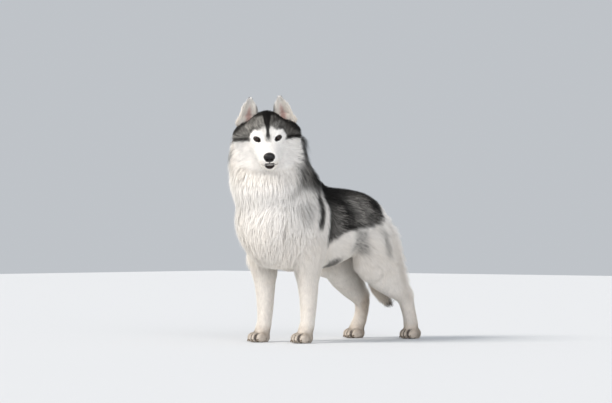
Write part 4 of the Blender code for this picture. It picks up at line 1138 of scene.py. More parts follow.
def make_skin():
    """One closed skin under the coat, with the face carved into it and the ears set on."""
    obj = body_object()
    divide_face(obj, lambda q: (q[:, 1] < 0.03) & (q[:, 2] > -0.085) & (near_head(q) > 0.5))
    points = mesh_points(obj.data)
    normals = mesh_normals(obj.data)
    # The skin lies inside the coat's tips by most of its depth
    depth = coat_depth(points)
    depth *= 0.66 + 0.20 * ramp(depth, 0.006, 0.020)
    set_points(obj.data, points - normals * depth[:, None])

    # Round the eyes and at the mouth the mesh is made finer, round the eyes twice
    def fine(q):
        eyes = [np.linalg.norm(q - (EYE_PLACE.x * s, -0.042, EYE_PLACE.z), axis=1) for s in (-1, 1)]
        return (np.minimum(*eyes) < 0.024) | ((q[:, 1] < -0.118) & (q[:, 2] < 0.01))

    divide_face(obj, fine)
    divide_face(obj, lambda q: fine(q) & (q[:, 1] > -0.10))
    points = mesh_points(obj.data)
    q = to_head(points)
    face = near_head(q) > 0.3
    points[face] = from_head(sculpt_face(q[face]))
    points[:, 2] = np.maximum(points[:, 2], SKIN_FLOOR)
    set_points(obj.data, points)
    body_count = len(points)
    bm = bmesh.new()
    bm.from_mesh(obj.data)
    counts = []
    for side in (-1, 1):
        counts.append(len(add_ear(bm, side)))
    bmesh.ops.recalc_face_normals(bm, faces=bm.faces[:])
    bm.to_mesh(obj.data)
    bm.free()
    points = mesh_points(obj.data)
    normals = mesh_normals(obj.data)
    colour = coat_colour(points)
    start = body_count
    for side, count in zip((-1, 1), counts):
        part = slice(start, start + count)
        colour[part] = ear_colour(points[part], normals[part], side)
        start += count
    q = to_head(points[:body_count])
    for side in (-1, 1):
        rim = ramp(almond(q, side), 0.0034, 0.0022)
        colour[:body_count] = mix(colour[:body_count], BLACK, rim)
    set_colour(obj.data, colour)
    return obj, body_count, counts


class CoatGround:
    """What the coat grows on: triangles, normals, and an unwrap of the skin's shape."""

    def __init__(self, obj, body_count, counts):
        mesh = obj.data
        mesh.calc_loop_triangles()
        corners = np.empty(len(mesh.loop_triangles) * 3, np.int32)
        mesh.loop_triangles.foreach_get("vertices", corners)
        self.corners = corners.reshape(-1, 3)
        self.points = mesh_points(mesh)
        self.normals = mesh_normals(mesh)
        self.body_count = body_count
        self.ends = (body_count + counts[0], body_count + sum(counts))
        body = self.corners[(self.corners < body_count).all(axis=1)]
        self.tree = BVHTree.FromPolygons(
            [Vector(p) for p in self.points], body.tolist(), all_triangles=True
        )
        self.unwrap(obj)

    def unwrap(self, obj):
        """Lay a coarse copy of the skin out flat."""
        copy = obj.copy()
        copy.data = obj.data.copy()
        bpy.context.scene.collection.objects.link(copy)
        thin = copy.modifiers.new("thin", "DECIMATE")
        thin.ratio = UNWRAP_TRIANGLES / len(self.corners)
        thin.use_collapse_triangulate = True
        apply_modifiers(copy)
        copy.data.uv_layers.new(name="OFBake")
        bpy.context.view_layer.objects.active = copy
        copy.select_set(True)
        bpy.ops.object.mode_set(mode="EDIT")
        bpy.ops.mesh.select_all(action="SELECT")
        bpy.ops.uv.smart_project(angle_limit=math.radians(66), island_margin=0.004)
        bpy.ops.object.mode_set(mode="OBJECT")
        mesh = copy.data
        flat = np.empty(len(mesh.loops) * 2, np.float32)
        mesh.uv_layers["OFBake"].data.foreach_get("uv", flat)
        self.map = flat.reshape(-1, 3, 2).astype(float)
        places = mesh_points(mesh)
        corners = np.array([list(face.vertices) for face in mesh.polygons])
        self.map_corners = places[corners]
        self.map_tree = BVHTree.FromPolygons(
            [Vector(p) for p in places], corners.tolist(), all_triangles=True
        )
        bpy.data.objects.remove(copy)

    def flat_places(self, spots):
        """Where each spot lies on the unwrap."""
        index = np.empty(len(spots), int)
        found = np.empty((len(spots), 3))
        for i, spot in enumerate(spots.tolist()):
            place, _, face, _ = self.map_tree.find_nearest(spot)
            found[i] = place
            index[i] = face
        a, b, c = (self.map_corners[index, k] for k in range(3))
        first, second, third = b - a, c - a, found - a
        d00 = np.sum(first * first, axis=1)
        d01 = np.sum(first * second, axis=1)
        d11 = np.sum(second * second, axis=1)
        d20 = np.sum(third * first, axis=1)
        d21 = np.sum(third * second, axis=1)
        under = np.maximum(d00 * d11 - d01 * d01, 1e-16)
        v = np.clip((d11 * d20 - d01 * d21) / under, 0, 1)
        w = np.clip((d00 * d21 - d01 * d20) / under, 0, 1)
        share = np.stack([1 - v - w, v, w], axis=1)[:, :, None]
        return np.sum(self.map[index] * share, axis=1)

    def follow(self, spots):
        """The nearest places on the body's skin and the normals there."""
        places = np.empty((len(spots), 3))
        normals = np.empty((len(spots), 3))
        for i, spot in enumerate(spots.tolist()):
            place, normal, _, _ = self.tree.find_nearest(spot)
            places[i] = place
            normals[i] = normal
        return places, normals

    def roots(self, count, rng, weigh, chosen):
        """Even random places on the chosen triangles, with smooth normals."""
        corners = self.corners[chosen]
        a, b, c = (self.points[corners[:, k]] for k in range(3))
        area = 0.5 * np.linalg.norm(np.cross(b - a, c - a), axis=1)
        weights = np.cumsum(area * weigh((a + b + c) / 3))
        steps = (np.arange(count) + rng.random(count)) / count * weights[-1]
        pick = np.minimum(np.searchsorted(weights, steps), len(corners) - 1)
        u, v = rng.random(count), rng.random(count)
        over = u + v > 1
        u, v = np.where(over, 1 - u, u), np.where(over, 1 - v, v)
        share = np.stack([1 - u - v, u, v], axis=1)[:, :, None]
        places = np.sum(self.points[corners[pick]] * share, axis=1)
        return places, unit(np.sum(self.normals[corners[pick]] * share, axis=1))


# The coat
def tuft_length(depth):
    """Longer hair where the coat is deeper."""
    return 2.4 * depth + 0.0030


def tuft_width(length):
    """Half width of a tuft."""
    return 0.0068 * length + 0.00039


def crowding(points):
    """How many tufts a square metre of skin needs at each point."""
    length = tuft_length(coat_depth(points))
    return (1 + 0.5 * ramp(length, 0.030, 0.055)) / (length * tuft_width(length))


def tuft_paths(ground, roots, normals, rng):
    """Four stations for each tuft, following the lie of the coat over the skin."""
    count = len(roots)
    depth = coat_depth(roots)
    length = tuft_length(depth) * rng.uniform(0.72, 1.22, count)
    rise = rng.uniform(0.76, 1.06, count) + 0.20 * (rng.random(count) < 0.05)
    rump = breeches(roots) * ramp(roots[:, 2], 0.20, 0.28)
    rise += rump * rng.uniform(-0.2, 1.00, count)
    length *= 1 - 0.15 * rump
    wander = 0.18 * noise(roots, 0.045, 5) + rng.normal(0, 0.13, count)
    stations, ways = [], []
    spot, normal = roots, normals
    for k, (place, lift) in enumerate(zip(RING_PLACES, RING_RISES)):
        if k:
            step = (place - RING_PLACES[k - 1]) * length
            ahead = spot + lie * step[:, None]
            near, found = ground.follow(ahead)
            away = np.linalg.norm(near - ahead, axis=1)
            calm = ramp(away, 1.1 * step, 0.5 * step)
            calm = calm * ramp(np.sum(found * normal, axis=1), 0.1, 0.6)
            spot = mix(ahead, near, 0.86 * calm)
            normal = unit(mix(normal, found, 0.7 * calm))
        new = coat_lie(spot, normal)
        turn = wander * (0.6 + 0.4 * k)
        new = new * np.cos(turn)[:, None] + np.cross(normal, new) * np.sin(turn)[:, None]
        lie = new if k == 0 else unit(lie * 0.45 + new * 0.55)
        stations.append(spot + normal * (lift * rise * depth)[:, None])
        ways.append((lie, normal))
    near, _ = ground.follow(stations[-1])
    height = np.linalg.norm(stations[-1] - near, axis=1)
    # A tuft that stands off the skin, as where the body curves away, is drawn in
    stray = 0.65 * ramp(height, 1.3 * depth, 2.0 * depth)
    stations = [mix(station, roots, stray) for station in stations]
    return stations, ways, length


def gather(roots, stations, rng, spacing):
    """Pull the ends of neighbouring tufts together into locks."""
    order = rng.permutation(len(roots))
    keys = []
    cell = np.floor(roots / spacing[:, None]).astype(int)
    seen = set()
    for i in order.tolist():
        key = (*cell[i].tolist(), round(float(spacing[i]) * 2000))
        if key not in seen:
            seen.add(key)
            keys.append(i)
    taken = KDTree(len(keys))
    for n, i in enumerate(keys):
        taken.insert(roots[i], n)
    taken.balance()
    owner = np.array([keys[taken.find(spot)[1]] for spot in roots.tolist()])
    strength = rng.uniform(0.05, 0.60, len(roots)) + 3.4 * breeches(roots)
    for k, pull in LOCK_PULLS:
        share = (pull * strength)[:, None]
        stations[k] = stations[k] * (1 - share) + stations[k][owner] * share
    return stations


def tuft_mesh(name, stations, ways, half, rows, flat):
    """A mesh of tufts, each a tapered blade with a ridge along its middle."""
    count = len(half)
    verts = np.empty((count, 10, 3))
    for k in range(3):
        lie, normal = ways[k]
        across = unit(np.cross(lie, normal))
        reach = (half * RING_WIDTHS[k])[:, None]
        verts[:, 3 * k] = stations[k] - across * reach
        verts[:, 3 * k + 1] = stations[k] + normal * reach * RIDGE
        verts[:, 3 * k + 2] = stations[k] + across * reach
    verts[:, 9] = stations[3]
    quads = [(0, 1, 4, 3), (1, 2, 5, 4), (3, 4, 7, 6), (4, 5, 8, 7)]
    loops = [v for quad in quads for v in quad] + [6, 7, 9, 7, 8, 9]
    sizes = np.tile([4, 4, 4, 4, 3, 3], count)
    starts = np.concatenate([[0], np.cumsum(sizes)[:-1]])
    index = (np.arange(count)[:, None] * 10 + np.array(loops)).ravel()
    mesh = bpy.data.meshes.new(name)
    mesh.vertices.add(count * 10)
    mesh.vertices.foreach_set("co", verts.astype(np.float32).ravel())
    mesh.loops.add(len(index))
    mesh.loops.foreach_set("vertex_index", index.astype(np.int32))
    mesh.polygons.add(len(sizes))
    mesh.polygons.foreach_set("loop_start", starts.astype(np.int32))
    mesh.polygons.foreach_set("loop_total", sizes.astype(np.int32))
    mesh.update(calc_edges=True)
    along = np.repeat(RING_PLACES, [3, 3, 3, 1])
    set_colour(mesh, rows[:, [0, 0, 0, 1, 1, 1, 2, 2, 2, 3]].reshape(-1, 3))
    over = np.array([-1, 0, 1] * 3 + [0]) * (PATCH_WIDTH / 2)
    patch = np.stack([over, along * PATCH_LENGTH - PATCH_LENGTH / 2], axis=1)
    spots = flat[:, None] + patch[None]
    layer = mesh.uv_layers.new(name="OFBake")
    layer.data.foreach_set("uv", spots.reshape(-1, 2)[index].astype(np.float32).ravel())
    obj = bpy.data.objects.new(name, mesh)
    bpy.context.scene.collection.objects.link(obj)
    return obj


def bare_parts(p, lids, nose, lips):
    """Which points of the body lie on the eyes, the nose or the lips, by these margins."""
    q = to_head(p)
    away = np.minimum(almond(q, -1), almond(q, 1))
    reach = np.linalg.norm((q - np.array(NOSE_PLACE)) / np.array(NOSE_REACH), axis=1)
    return (away < lids) | (reach < nose) | (bare_lips(q) > lips)


def grow_body_coat(ground, rng, count):
    """Tufts over the whole body; returns what the pieces are made from."""
    chosen = (ground.corners < ground.body_count).all(axis=1)
    roots, normals = ground.roots(count, rng, crowding, chosen)
    bare = bare_parts(roots, 0.0020, 1.04, 0.6) | (roots[:, 2] < SOLE_HEIGHT)
    roots, normals = roots[~bare], normals[~bare]
    stations, ways, length = tuft_paths(ground, roots, normals, rng)
    keep = ~np.any([bare_parts(station, 0.0016, 1.0, 0.5) for station in stations[1:]], axis=0)
    roots, length = roots[keep], length[keep]
    stations = [station[keep] for station in stations]
    ways = [(a[keep], b[keep]) for a, b in ways]
    spacing = (0.16 + 0.12 * breeches(roots)) * length
    spacing = np.round(np.clip(spacing, 0.004, 0.020), 3)
    stations = gather(roots, stations, rng, spacing)
    for station in stations:
        station[:, 2] = np.maximum(station[:, 2], TUFT_FLOOR)
    own = coat_colour(stations[2])
    count = len(own)
    shine = np.linalg.norm(own, axis=1)
    # Each row leans to the marking it lies over, so that the borders stay crisp
    rows = [own * 0.35 + coat_colour(station) * 0.65 for station in stations[1:]]
    # The root row is painted darker than the tips, most under dark coat: painted shade deep in the
    # coat
    rows = np.stack([rows[0] * np.where(shine > 0.5, 0.96, 0.7)[:, None], *rows], axis=1)
    rows = rows * rng.uniform(0.90, 1.08, count)[:, None, None]
    pale = (rng.random(count) < 0.55) * rng.uniform(0.3, 1.0, count)
    pale = (ramp(shine, 0.62, 0.30) * pale * grizzle(roots))[:, None, None]
    rows = rows * (1 - pale) + SILVER * pale
    middling = ramp(shine, 0.16, 0.26) * ramp(shine, 1.15, 0.85)
    black = middling * (rng.random(count) < 0.30) * rng.uniform(0.3, 0.9, count)
    black = black[:, None, None]
    rows = rows * (1 - black) + BLACK * black
    half = tuft_width(length) * rng.uniform(0.75, 1.25, count)
    return roots, stations, ways, half, np.clip(rows, 0, 1)


def grizzle(p):
    """How much the dark coat is mixed with pale hairs at each point."""
    y, z = p[:, 1], p[:, 2]
    body = np.maximum(0.06 * ramp(z, 0.540, 0.510) * ramp(y, 0.08, 0.12), saddle_light(p))
    head = near_head(to_head(p))
    neck = ramp(neck_facing(p), -0.35, 0.25) * ramp(z, 0.52, 0.56) * ramp(y, 0.20, 0.12)
    return np.clip(np.maximum(body * (1 - head), 0.75 * neck * (1 - head)), 0, 1)


def region_of(p):
    """The named part of the coat that each root belongs to."""
    q = to_head(p)
    y, z = p[:, 1], p[:, 2]
    head = near_head(q) > 0.5
    tail = on_tail(p) > 0.5
    front = y < 0.16
    return np.select(
        [
            head & (q[:, 1] < -0.045), head, tail,
            front & (z > 0.53), front & (z > 0.27), front & (z > 0.07), front,
            z > 0.45, z > 0.31, z > 0.07,
        ],
        [
            "muzzle", "head", "tail", "ruff", "chest", "forelegs", "forepaws",
            "back", "flanks", "hindlegs",
        ],
        "hindpaws",
    )


def ear_coat(ground, rng, count):
    """Short hair on the backs of the ears and long white hair in their cups."""
    found = []
    starts = (ground.body_count, ground.ends[0])
    for side, start, end in zip((-1, 1), starts, ground.ends):
        inside = ((ground.corners >= start) & (ground.corners < end)).all(axis=1)
        roots, normals = ground.roots(count, rng, lambda p: np.ones(len(p)), inside)
        lean, across, forward = (HEAD_AXES @ np.array(axis) for axis in ear_axes(side))
        local = roots - np.array(HEAD @ mirrored(EAR_ROOT, side))
        up = local @ lean / EAR_HEIGHT
        half = ear_half(np.clip(up, 0, 0.97))
        over = (local @ across + side * EAR_TURN_IN * np.maximum(up, 0)) / half
        keep = (up > -0.34) & (up < 0.95)
        roots, normals, up, over = roots[keep], normals[keep], up[keep], over[keep]
        front = ramp(normals @ forward, -0.10, 0.15)
        size = len(roots)
        long_hair = front * ramp(up, 0.95, 0.35)
        length = (0.0050 + 0.0150 * long_hair * ramp(up, 0.9, 0.5)) * rng.uniform(0.7, 1.2, size)
        way = lean + np.outer(front * -0.55 * np.sign(over) * (1 - np.abs(over)), across)
        way = way + np.outer(over * 0.35 * (1 - front), across)
        way += rng.normal(0, 0.10, (size, 3))
        stations, ways = [], []
        lift = 0.0014 + 0.0040 * long_hair
        for place, rise in zip(RING_PLACES, RING_RISES):
            lie = unit(way - normals * np.sum(way * normals, axis=1, keepdims=True) * 0.8)
            spot = roots + lie * (place * length)[:, None]
            stations.append(spot + normals * (rise * lift)[:, None])
            ways.append((lie, normals))
        tips = ear_colour(roots, normals, side)
        tips = np.clip(tips * rng.uniform(0.88, 1.08, size)[:, None], 0, 1)
        half = 0.00055 + 0.00035 * long_hair
        rows = np.stack([tips * 0.9, tips, tips, tips], axis=1)
        found.append((roots, stations, ways, half, rows))
    return found


def fewer(count):
    return count // 1


def make_coat_pieces(ground, name, data, material):
    """Cut one region's tufts into meshes of a size that stays whole."""
    roots, stations, ways, half, rows = data
    flat = ground.flat_places(roots)
    pieces = []
    count = math.ceil(len(roots) / PIECE_TUFTS)
    for i in range(count):
        part = slice(i * PIECE_TUFTS, (i + 1) * PIECE_TUFTS)
        title = f"coat_{name}_{i + 1}" if count > 1 else f"coat_{name}"
        obj = tuft_mesh(
            title, [s[part] for s in stations], [(a[part], b[part]) for a, b in ways],
            half[part], rows[part], flat[part],
        )
        pieces.append(dress(obj, material))
    return pieces


# Eyes, nose, lips, pads and claws
def make_eyeball(side, name):
    """An eyeball with a brown iris round a black pupil, looking forward."""
    bm = bmesh.new()
    bmesh.ops.create_uvsphere(bm, u_segments=48, v_segments=32, radius=EYE_RADIUS)
    look = Vector((0.06 * side, -1.0, 0.04)).normalized()
    bmesh.ops.rotate(
        bm, cent=(0, 0, 0), verts=bm.verts[:],
        matrix=Vector((0, 0, 1)).rotation_difference(look).to_matrix(),
    )
    spread = np.array([look.angle(v.co) for v in bm.verts])
    place = Matrix.Translation(mirrored(EYE_PLACE, side))
    bmesh.ops.transform(bm, matrix=HEAD @ place, verts=bm.verts[:])
    obj = make_object(name, bm)
    iris = mix(IRIS, IRIS_EDGE, ramp(spread, *IRIS_DARKENS))
    iris = mix(iris, PUPIL, ramp(spread, *PUPIL_EDGE))
    set_colour(obj.data, mix(iris, EYE_WHITE, ramp(spread, *WHITE_EDGE)))
    return obj


def tube(bm, points, radii, sides=8):
    """A closed round tube through the points."""
    loops = []
    for i, point in enumerate(points):
        before, after = points[max(i - 1, 0)], points[min(i + 1, len(points) - 1)]
        along = (after - before).normalized()
        turn = Vector((0, 0, 1)).rotation_difference(along).to_matrix().to_4x4()
        matrix = Matrix.Translation(point) @ turn
        circle = bmesh.ops.create_circle(bm, segments=sides, radius=radii[i], matrix=matrix)
        verts = circle["verts"]
        loops.append(list({edge for vert in verts for edge in vert.link_edges}))
    for first, second in zip(loops, loops[1:]):
        bmesh.ops.bridge_loops(bm, edges=first + second)
    bmesh.ops.holes_fill(bm, edges=loops[0] + loops[-1], sides=0)


def make_lids():
    """The bare black rims of the lids round both eyes."""
    bm = bmesh.new()
    for side in (-1, 1):
        axes = Matrix(eye_axes(side).tolist())
        centre = mirrored(EYE_PLACE, side)
        points, radii = [], []
        steps = 56
        for k in range(steps + 1):
            angle = 2 * math.pi * k / steps
            across = math.cos(angle)
            x = LID_HALF_WIDTH * RIM_OUTSIDE * across
            z = lid_height(across) * RIM_OUTSIDE * math.sin(angle)
            lift = EYE_RADIUS * RIM_LIFT
            y = -math.sqrt(max(lift**2 - x * x - z * z, 0.0000015))
            points.append(centre + axes @ Vector((x, y, z)))
            radii.append(0.00135 + 0.0007 * abs(across) ** 6)
        tube(bm, points, radii)
    bmesh.ops.transform(bm, matrix=HEAD, verts=bm.verts[:])
    return make_object("eye_rims", bm)


def make_nose():
    """The nose leather with its comma-shaped nostrils and the groove between them."""
    bm = bmesh.new()
    ball(bm, Vector((0, 0, 0)), NOSE_REACH, detail=6)
    for vert in bm.verts:
        p = vert.co
        wide, deep, tall = (p.x / NOSE_REACH.x, p.y / NOSE_REACH.y, p.z / NOSE_REACH.z)
        # A broad, squarish front, narrowing a little towards the lip
        size = math.hypot(wide, tall)
        power = NOSE_SQUARENESS
        square = size / max((abs(wide) ** power + abs(tall) ** power) ** (1 / power), 1e-6)
        square = 1 + (square - 1) * min(1, max(0, -deep + 0.6))
        p.x *= square * (1.02 - 0.10 * max(-tall, 0) - 0.16 * max(tall, 0) ** 2)
        p.z *= square
        groove = math.exp(-((p.x / NOSE_GROOVE_HALF) ** 2)) * max(-deep, 0)
        groove *= 1 if tall < 0.35 else max(0, 1 - (tall - 0.35) * 3)
        p.y += NOSE_GROOVE_DEPTH * groove
        for side in (-1, 1):
            u = (p.x * side - NOSTRIL_PLACE[0]) / NOSTRIL_HALF[0]
            v = (p.z - NOSTRIL_PLACE[1]) / NOSTRIL_HALF[1]
            round_part = (u * 0.9 + 0.30 * v) ** 2 + (v - 0.30 * u * u) ** 2
            hole = math.exp(-(round_part**2))
            out = (p.x * side - SLIT_PLACE[0]) / SLIT_HALF[0]
            slit = math.exp(-(out**2) - ((p.z - SLIT_PLACE[1]) / SLIT_HALF[1]) ** 2)
            if deep < 0.1:
                p.y += NOSTRIL_DEPTH * hole * min(1, 0.1 - deep)
                p.x -= side * SLIT_DEPTH * slit
            wing = math.exp(-((u - 0.7) ** 2 + (v - 1.6) ** 2) * 0.8)
            p.y -= 0.0014 * wing * max(-deep, 0)
    bmesh.ops.translate(bm, vec=NOSE_PLACE, verts=bm.verts[:])
    bmesh.ops.transform(bm, matrix=HEAD, verts=bm.verts[:])
    return make_object("nose", bm)


def make_lips(ground):
    """The dark bare edge of the lips, laid along the line of the mouth."""
    bm = bmesh.new()
    steps = 48
    wanted = []
    for side in (-1, 1):
        for k in range(steps + 1):
            share = k / steps
            turn = math.radians(6 + 170 * share) / 2
            y = LIP_Y - LIP_FORWARD * math.sin(turn)
            x = side * (LIP_X + LIP_OUT * math.cos(turn) ** 0.7)
            z = mouth_height(y) - LIP_SAG * math.sin(share * math.pi * 0.9)
            wanted.append((x, y, z - LIP_DROP))
    places, normals = ground.follow(from_head(np.array(wanted)))
    places = places - normals * 0.0001
    half = steps + 1
    for i in range(2):
        points = [Vector(p) for p in places[i * half : (i + 1) * half]]
        swell = [min(1, 6 * (k + 1) / half) for k in range(half)]
        tube(bm, points, [LIP_THIN + LIP_THICKER * share for share in swell])
    middle = [(0, -0.156, -0.0230 - 0.0012 * k) for k in range(14)]
    places, normals = ground.follow(from_head(np.array(middle)))
    points = [Vector(p) for p in places - normals * 0.0002]
    tube(bm, points, [LIP_THICKER] * len(points))
    return make_object("lips", bm)


def make_claw(name, root):
    """A tapering curved claw pointing forward and down from its toe."""
    bm = bmesh.new()
    rows = 14
    turn = Matrix.Rotation(CLAW_TILT, 3, "X")
    points, radii = [], []
    for i in range(rows):
        share = i / (rows - 1)
        along = share * CLAW_LENGTH
        local = Vector((0, -CLAW_CURVE * share**2, along))
        points.append(root + turn @ local)
        taper = (1.0 - share**1.6) ** 0.62
        radii.append(CLAW_RADIUS * taper * 0.94 + CLAW_TIP_RADIUS)
    tube(bm, points, radii, 20)
    return make_object(name, bm)


def make_pads(name, paw):
    """The bare pads under one paw: four toe pads and the main pad."""
    bm = bmesh.new()
    for place, _ in toe_places(paw):
        ball(bm, Vector((place.x, place.y + TOE_PAD_BACK, TOE_PAD_HEIGHT)), TOE_PAD)
    ball(bm, paw + MAIN_PAD_PLACE, MAIN_PAD)
    return make_object(name, bm)


# Stage
def make_floor(width, colour):
    """A plain pale floor under the model."""
    bm = bmesh.new()
    bmesh.ops.create_grid(bm, x_segments=1, y_segments=1, size=width / 2)
    obj = make_object("floor", bm)
    material, tree, shader = new_material(
        "pale floor", colour, 0.85, Specular_IOR_Level=0.15
    )
    raise_grain(
        tree, shader, "ShaderNodeTexNoise", "Fac", 0.0010, 0.2, Scale=260.0, Detail=4.0
    )
    obj.data.materials.append(material)


def make_light(name, way, spread, power, colour):
    """A soft, even light that shines along this way."""
    data = bpy.data.lights.new(name, "SUN")
    data.angle = math.radians(spread)
    data.energy = power
    data.color = linear(colour)
    obj = bpy.data.objects.new(name, data)
    obj.rotation_euler = Vector(way).to_track_quat("-Z", "Y").to_euler()
    bpy.context.scene.collection.objects.link(obj)


def make_world(strength, colour):
    """An even pale surround."""
    world = bpy.data.worlds.new("surround")
    world.use_nodes = True
    back = world.node_tree.nodes["Background"]
    back.inputs["Color"].default_value = (*linear(colour), 1)
    back.inputs["Strength"].default_value = strength
    bpy.context.scene.world = world


# The camera: its turn round the dog, distance, height, place to the side, lens and shift
VIEW_TURN = math.radians(42)
VIEW_DISTANCE = 10.063
VIEW_HEIGHT = 0.405
VIEW_SIDE = 26 / 285
VIEW_LENS = 167.65
VIEW_SHIFT = 0.0433
# The way each light shines, its spread in degrees, and the fill's share of the key
KEY_WAY, KEY_SPREAD = (1.35, 3.45, -3.10), 24
FILL_WAY, FILL_SPREAD = (-3.4, 2.4, -1.6), 40
FILL_SHARE = 0.42


def make_camera():
    """The photograph's view: level, from the dog's left front."""
    right = Vector((math.cos(VIEW_TURN), math.sin(VIEW_TURN), 0))
    ahead = Vector((-math.sin(VIEW_TURN), math.cos(VIEW_TURN), 0))
    data = bpy.data.cameras.new("camera")
    data.lens = VIEW_LENS
    data.sensor_width = 36.0
    data.shift_y = VIEW_SHIFT
    data.clip_end = 60.0
    obj = bpy.data.objects.new("camera", data)
    obj.location = SHIFT + Vector((0, 0, VIEW_HEIGHT)) - ahead * VIEW_DISTANCE + right * VIEW_SIDE
    obj.rotation_euler = (math.pi / 2, 0, VIEW_TURN)
    bpy.context.scene.collection.objects.link(obj)
    bpy.context.scene.camera = obj


# Values a user can change
class HuskyCoatSettings(bpy.types.PropertyGroup):
    """Sizes and looks of the coat."""

    tufts: IntProperty(
        name="Tufts", description="Number of tufts over the body",
        default=TUFTS, min=1000, max=300000,
    )
    ear_tufts: IntProperty(
        name="Ear tufts", description="Number of tufts on each ear",
        default=5200, min=100, max=20000,
    )
    roughness: FloatProperty(
        name="Roughness", description="Roughness of the hair",
        default=0.62, min=0, max=1, subtype="FACTOR",
    )
    sheen: FloatProperty(
        name="Sheen", description="Soft shine along the edges of the hair",
        default=0.01, min=0, max=1, subtype="FACTOR",
    )


class HuskyFaceSettings(bpy.types.PropertyGroup):
    """Looks of the bare parts."""

    nose_colour: FloatVectorProperty(
        name="Nose", description="Colour of the nose leather and lips",
        default=linear("#0E0C0C"), size=3, subtype="COLOR", min=0, max=1,
    )
    pad_colour: FloatVectorProperty(
        name="Pads", description="Colour of the bare pads",
        default=linear("#2A2523"), size=3, subtype="COLOR", min=0, max=1,
    )
    pebble: FloatProperty(
        name="Pebble", description="Width of a pebble of the nose leather",
        default=0.0011, min=0.0002, max=0.01, subtype="DISTANCE", unit="LENGTH",
    )


class HuskyStageSettings(bpy.types.PropertyGroup):
    """Floor and light."""

    floor_width: FloatProperty(
        name="Floor width", description="Width of the square floor",
        default=24.0, min=2, max=80, subtype="DISTANCE", unit="LENGTH",
    )
    floor_colour: FloatVectorProperty(
        name="Floor colour", description="Colour of the floor",
        default=linear("#D9DBDD"), size=3, subtype="COLOR", min=0, max=1,
    )
    key_power: FloatProperty(
        name="Key light", description="Strength of the main light",
        default=2.85, min=0, max=50,
    )
    surround: FloatProperty(
        name="Surround", description="Strength of the even light around",
        default=0.64, min=0, max=10,
    )


# What one piece hands on to the next
SHARED = {}


class HUSKY_OT_skin(bpy.types.Operator):
    """Make the skin of the whole body, with the markings it shares with the coat"""

    bl_idname = "husky.skin"
    bl_label = "Skin"

    def execute(self, context):
        obj, body_count, counts = make_skin()
        SHARED["ground"] = CoatGround(obj, body_count, counts)
        dress(obj, skin_material(), FLESH_NODES)
        return {"FINISHED"}


class HUSKY_OT_coat(bpy.types.Operator):
    """Grow the coat as tapering tufts that follow the lie of the hair"""

    bl_idname = "husky.coat"
    bl_label = "Coat"

    def execute(self, context):
        settings = context.scene.husky_coat
        ground = SHARED["ground"]
        rng = np.random.default_rng(SEED)
        material = hair_material("husky hair", settings.roughness, settings.sheen)
        data = grow_body_coat(ground, rng, fewer(settings.tufts))
        roots, stations, ways, half, rows = data
        names = region_of(roots)
        for name in sorted(set(names.tolist())):
            chosen = names == name
            part = (
                roots[chosen], [s[chosen] for s in stations],
                [(a[chosen], b[chosen]) for a, b in ways],
                half[chosen], rows[chosen],
            )
            make_coat_pieces(ground, name, part, material)
        ears = ear_coat(ground, rng, fewer(settings.ear_tufts))
        for name, part in zip(("right_ear", "left_ear"), ears):
            make_coat_pieces(ground, name, part, material)
        return {"FINISHED"}


class HUSKY_OT_eyes(bpy.types.Operator):
    """Make the eyeballs and the rims of the lids"""

    bl_idname = "husky.eyes"
    bl_label = "Eyes"

    def execute(self, context):
        material = eye_material()
        for side, name in ((1, "left_eye"), (-1, "right_eye")):
            obj = make_eyeball(side, name + "ball")
            dress(obj, material, [name])
        face = context.scene.husky_face
        leather = leather_material("eye rim", face.nose_colour, 0.42, face.pebble)
        dress(make_lids(), leather)
        return {"FINISHED"}


class HUSKY_OT_nose(bpy.types.Operator):
    """Make the nose leather and the edge of the lips"""

    bl_idname = "husky.nose"
    bl_label = "Nose and lips"

    def execute(self, context):
        face = context.scene.husky_face
        leather = leather_material("nose leather", face.nose_colour, 0.38, face.pebble)
        dress(make_nose(), leather, ["nose"])
        dress(make_lips(SHARED["ground"]), leather)
        return {"FINISHED"}


class HUSKY_OT_feet(bpy.types.Operator):
    """Make the claws and the bare pads of all four feet"""

    bl_idname = "husky.feet"
    bl_label = "Claws and pads"

    def execute(self, context):
        horn = horn_material()
        face = context.scene.husky_face
        pads = leather_material("pad", face.pad_colour, 0.80, PAD_PEBBLE)
        for name, paw in PAWS:
            for i, (place, _) in enumerate(toe_places(paw), 1):
                claw = make_claw(f"{name}_claw_horn_{i}", place + CLAW_ROOT)
                dress(claw, horn, [f"{name}_claw_{i}"])
            dress(make_pads(f"{name}_pads", paw), pads)
        return {"FINISHED"}


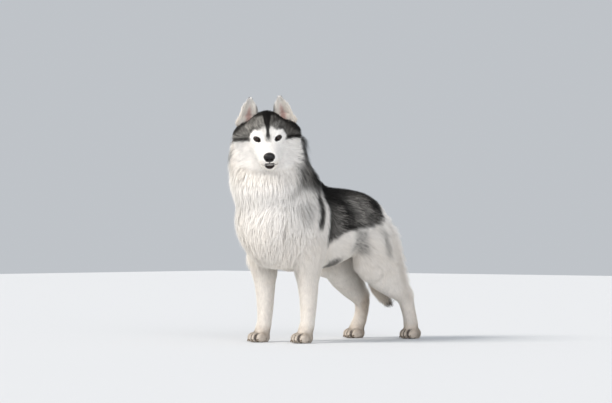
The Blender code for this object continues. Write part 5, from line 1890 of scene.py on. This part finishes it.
class HUSKY_OT_stage(bpy.types.Operator):
    """Set the floor, the light and the camera"""

    bl_idname = "husky.stage"
    bl_label = "Stage"

    def execute(self, context):
        stage = context.scene.husky_stage
        make_floor(stage.floor_width, tuple(stage.floor_colour))
        make_light("key", KEY_WAY, KEY_SPREAD, stage.key_power, "#FFF9F2")
        fill_power = stage.key_power * FILL_SHARE
        make_light("fill", FILL_WAY, FILL_SPREAD, fill_power, "#F6F5FA")
        make_world(stage.surround, "#E9EEF4")
        make_camera()
        context.scene.view_settings.view_transform = "Standard"
        return {"FINISHED"}


class HUSKY_PT_panel(bpy.types.Panel):
    """The pieces of the husky and their settings"""

    bl_idname = "HUSKY_PT_panel"
    bl_label = "Husky"
    bl_space_type = "VIEW_3D"
    bl_region_type = "UI"
    bl_category = "Husky"

    def draw(self, context):
        for group, names, operators in PANEL_ROWS:
            settings = getattr(context.scene, group)
            for name in names:
                self.layout.prop(settings, name)
            for operator in operators:
                self.layout.operator(operator)


PANEL_ROWS = (
    ("husky_coat", ("tufts", "ear_tufts", "roughness", "sheen"), ("husky.skin", "husky.coat")),
    (
        "husky_face", ("nose_colour", "pad_colour", "pebble"),
        ("husky.eyes", "husky.nose", "husky.feet"),
    ),
    (
        "husky_stage", ("floor_width", "floor_colour", "key_power", "surround"),
        ("husky.stage",),
    ),
)
GROUPS = {
    "husky_coat": HuskyCoatSettings,
    "husky_face": HuskyFaceSettings,
    "husky_stage": HuskyStageSettings,
}
CLASSES = (
    *GROUPS.values(), HUSKY_OT_skin, HUSKY_OT_coat, HUSKY_OT_eyes, HUSKY_OT_nose,
    HUSKY_OT_feet, HUSKY_OT_stage, HUSKY_PT_panel,
)


def register():
    """Add the classes and their settings."""
    for cls in CLASSES:
        bpy.utils.register_class(cls)
    for name, group in GROUPS.items():
        setattr(bpy.types.Scene, name, PointerProperty(type=group))


def unregister():
    """Take the classes and their settings away."""
    for name in GROUPS:
        delattr(bpy.types.Scene, name)
    for cls in reversed(CLASSES):
        bpy.utils.unregister_class(cls)


def main():
    """Make every piece in order."""
    register()
    for step in ("skin", "coat", "eyes", "nose", "feet", "stage"):
        result = getattr(bpy.ops.husky, step)()
        if result != {"FINISHED"}:
            raise RuntimeError(f"{step} did not finish")


if __name__ == "__main__":
    main()
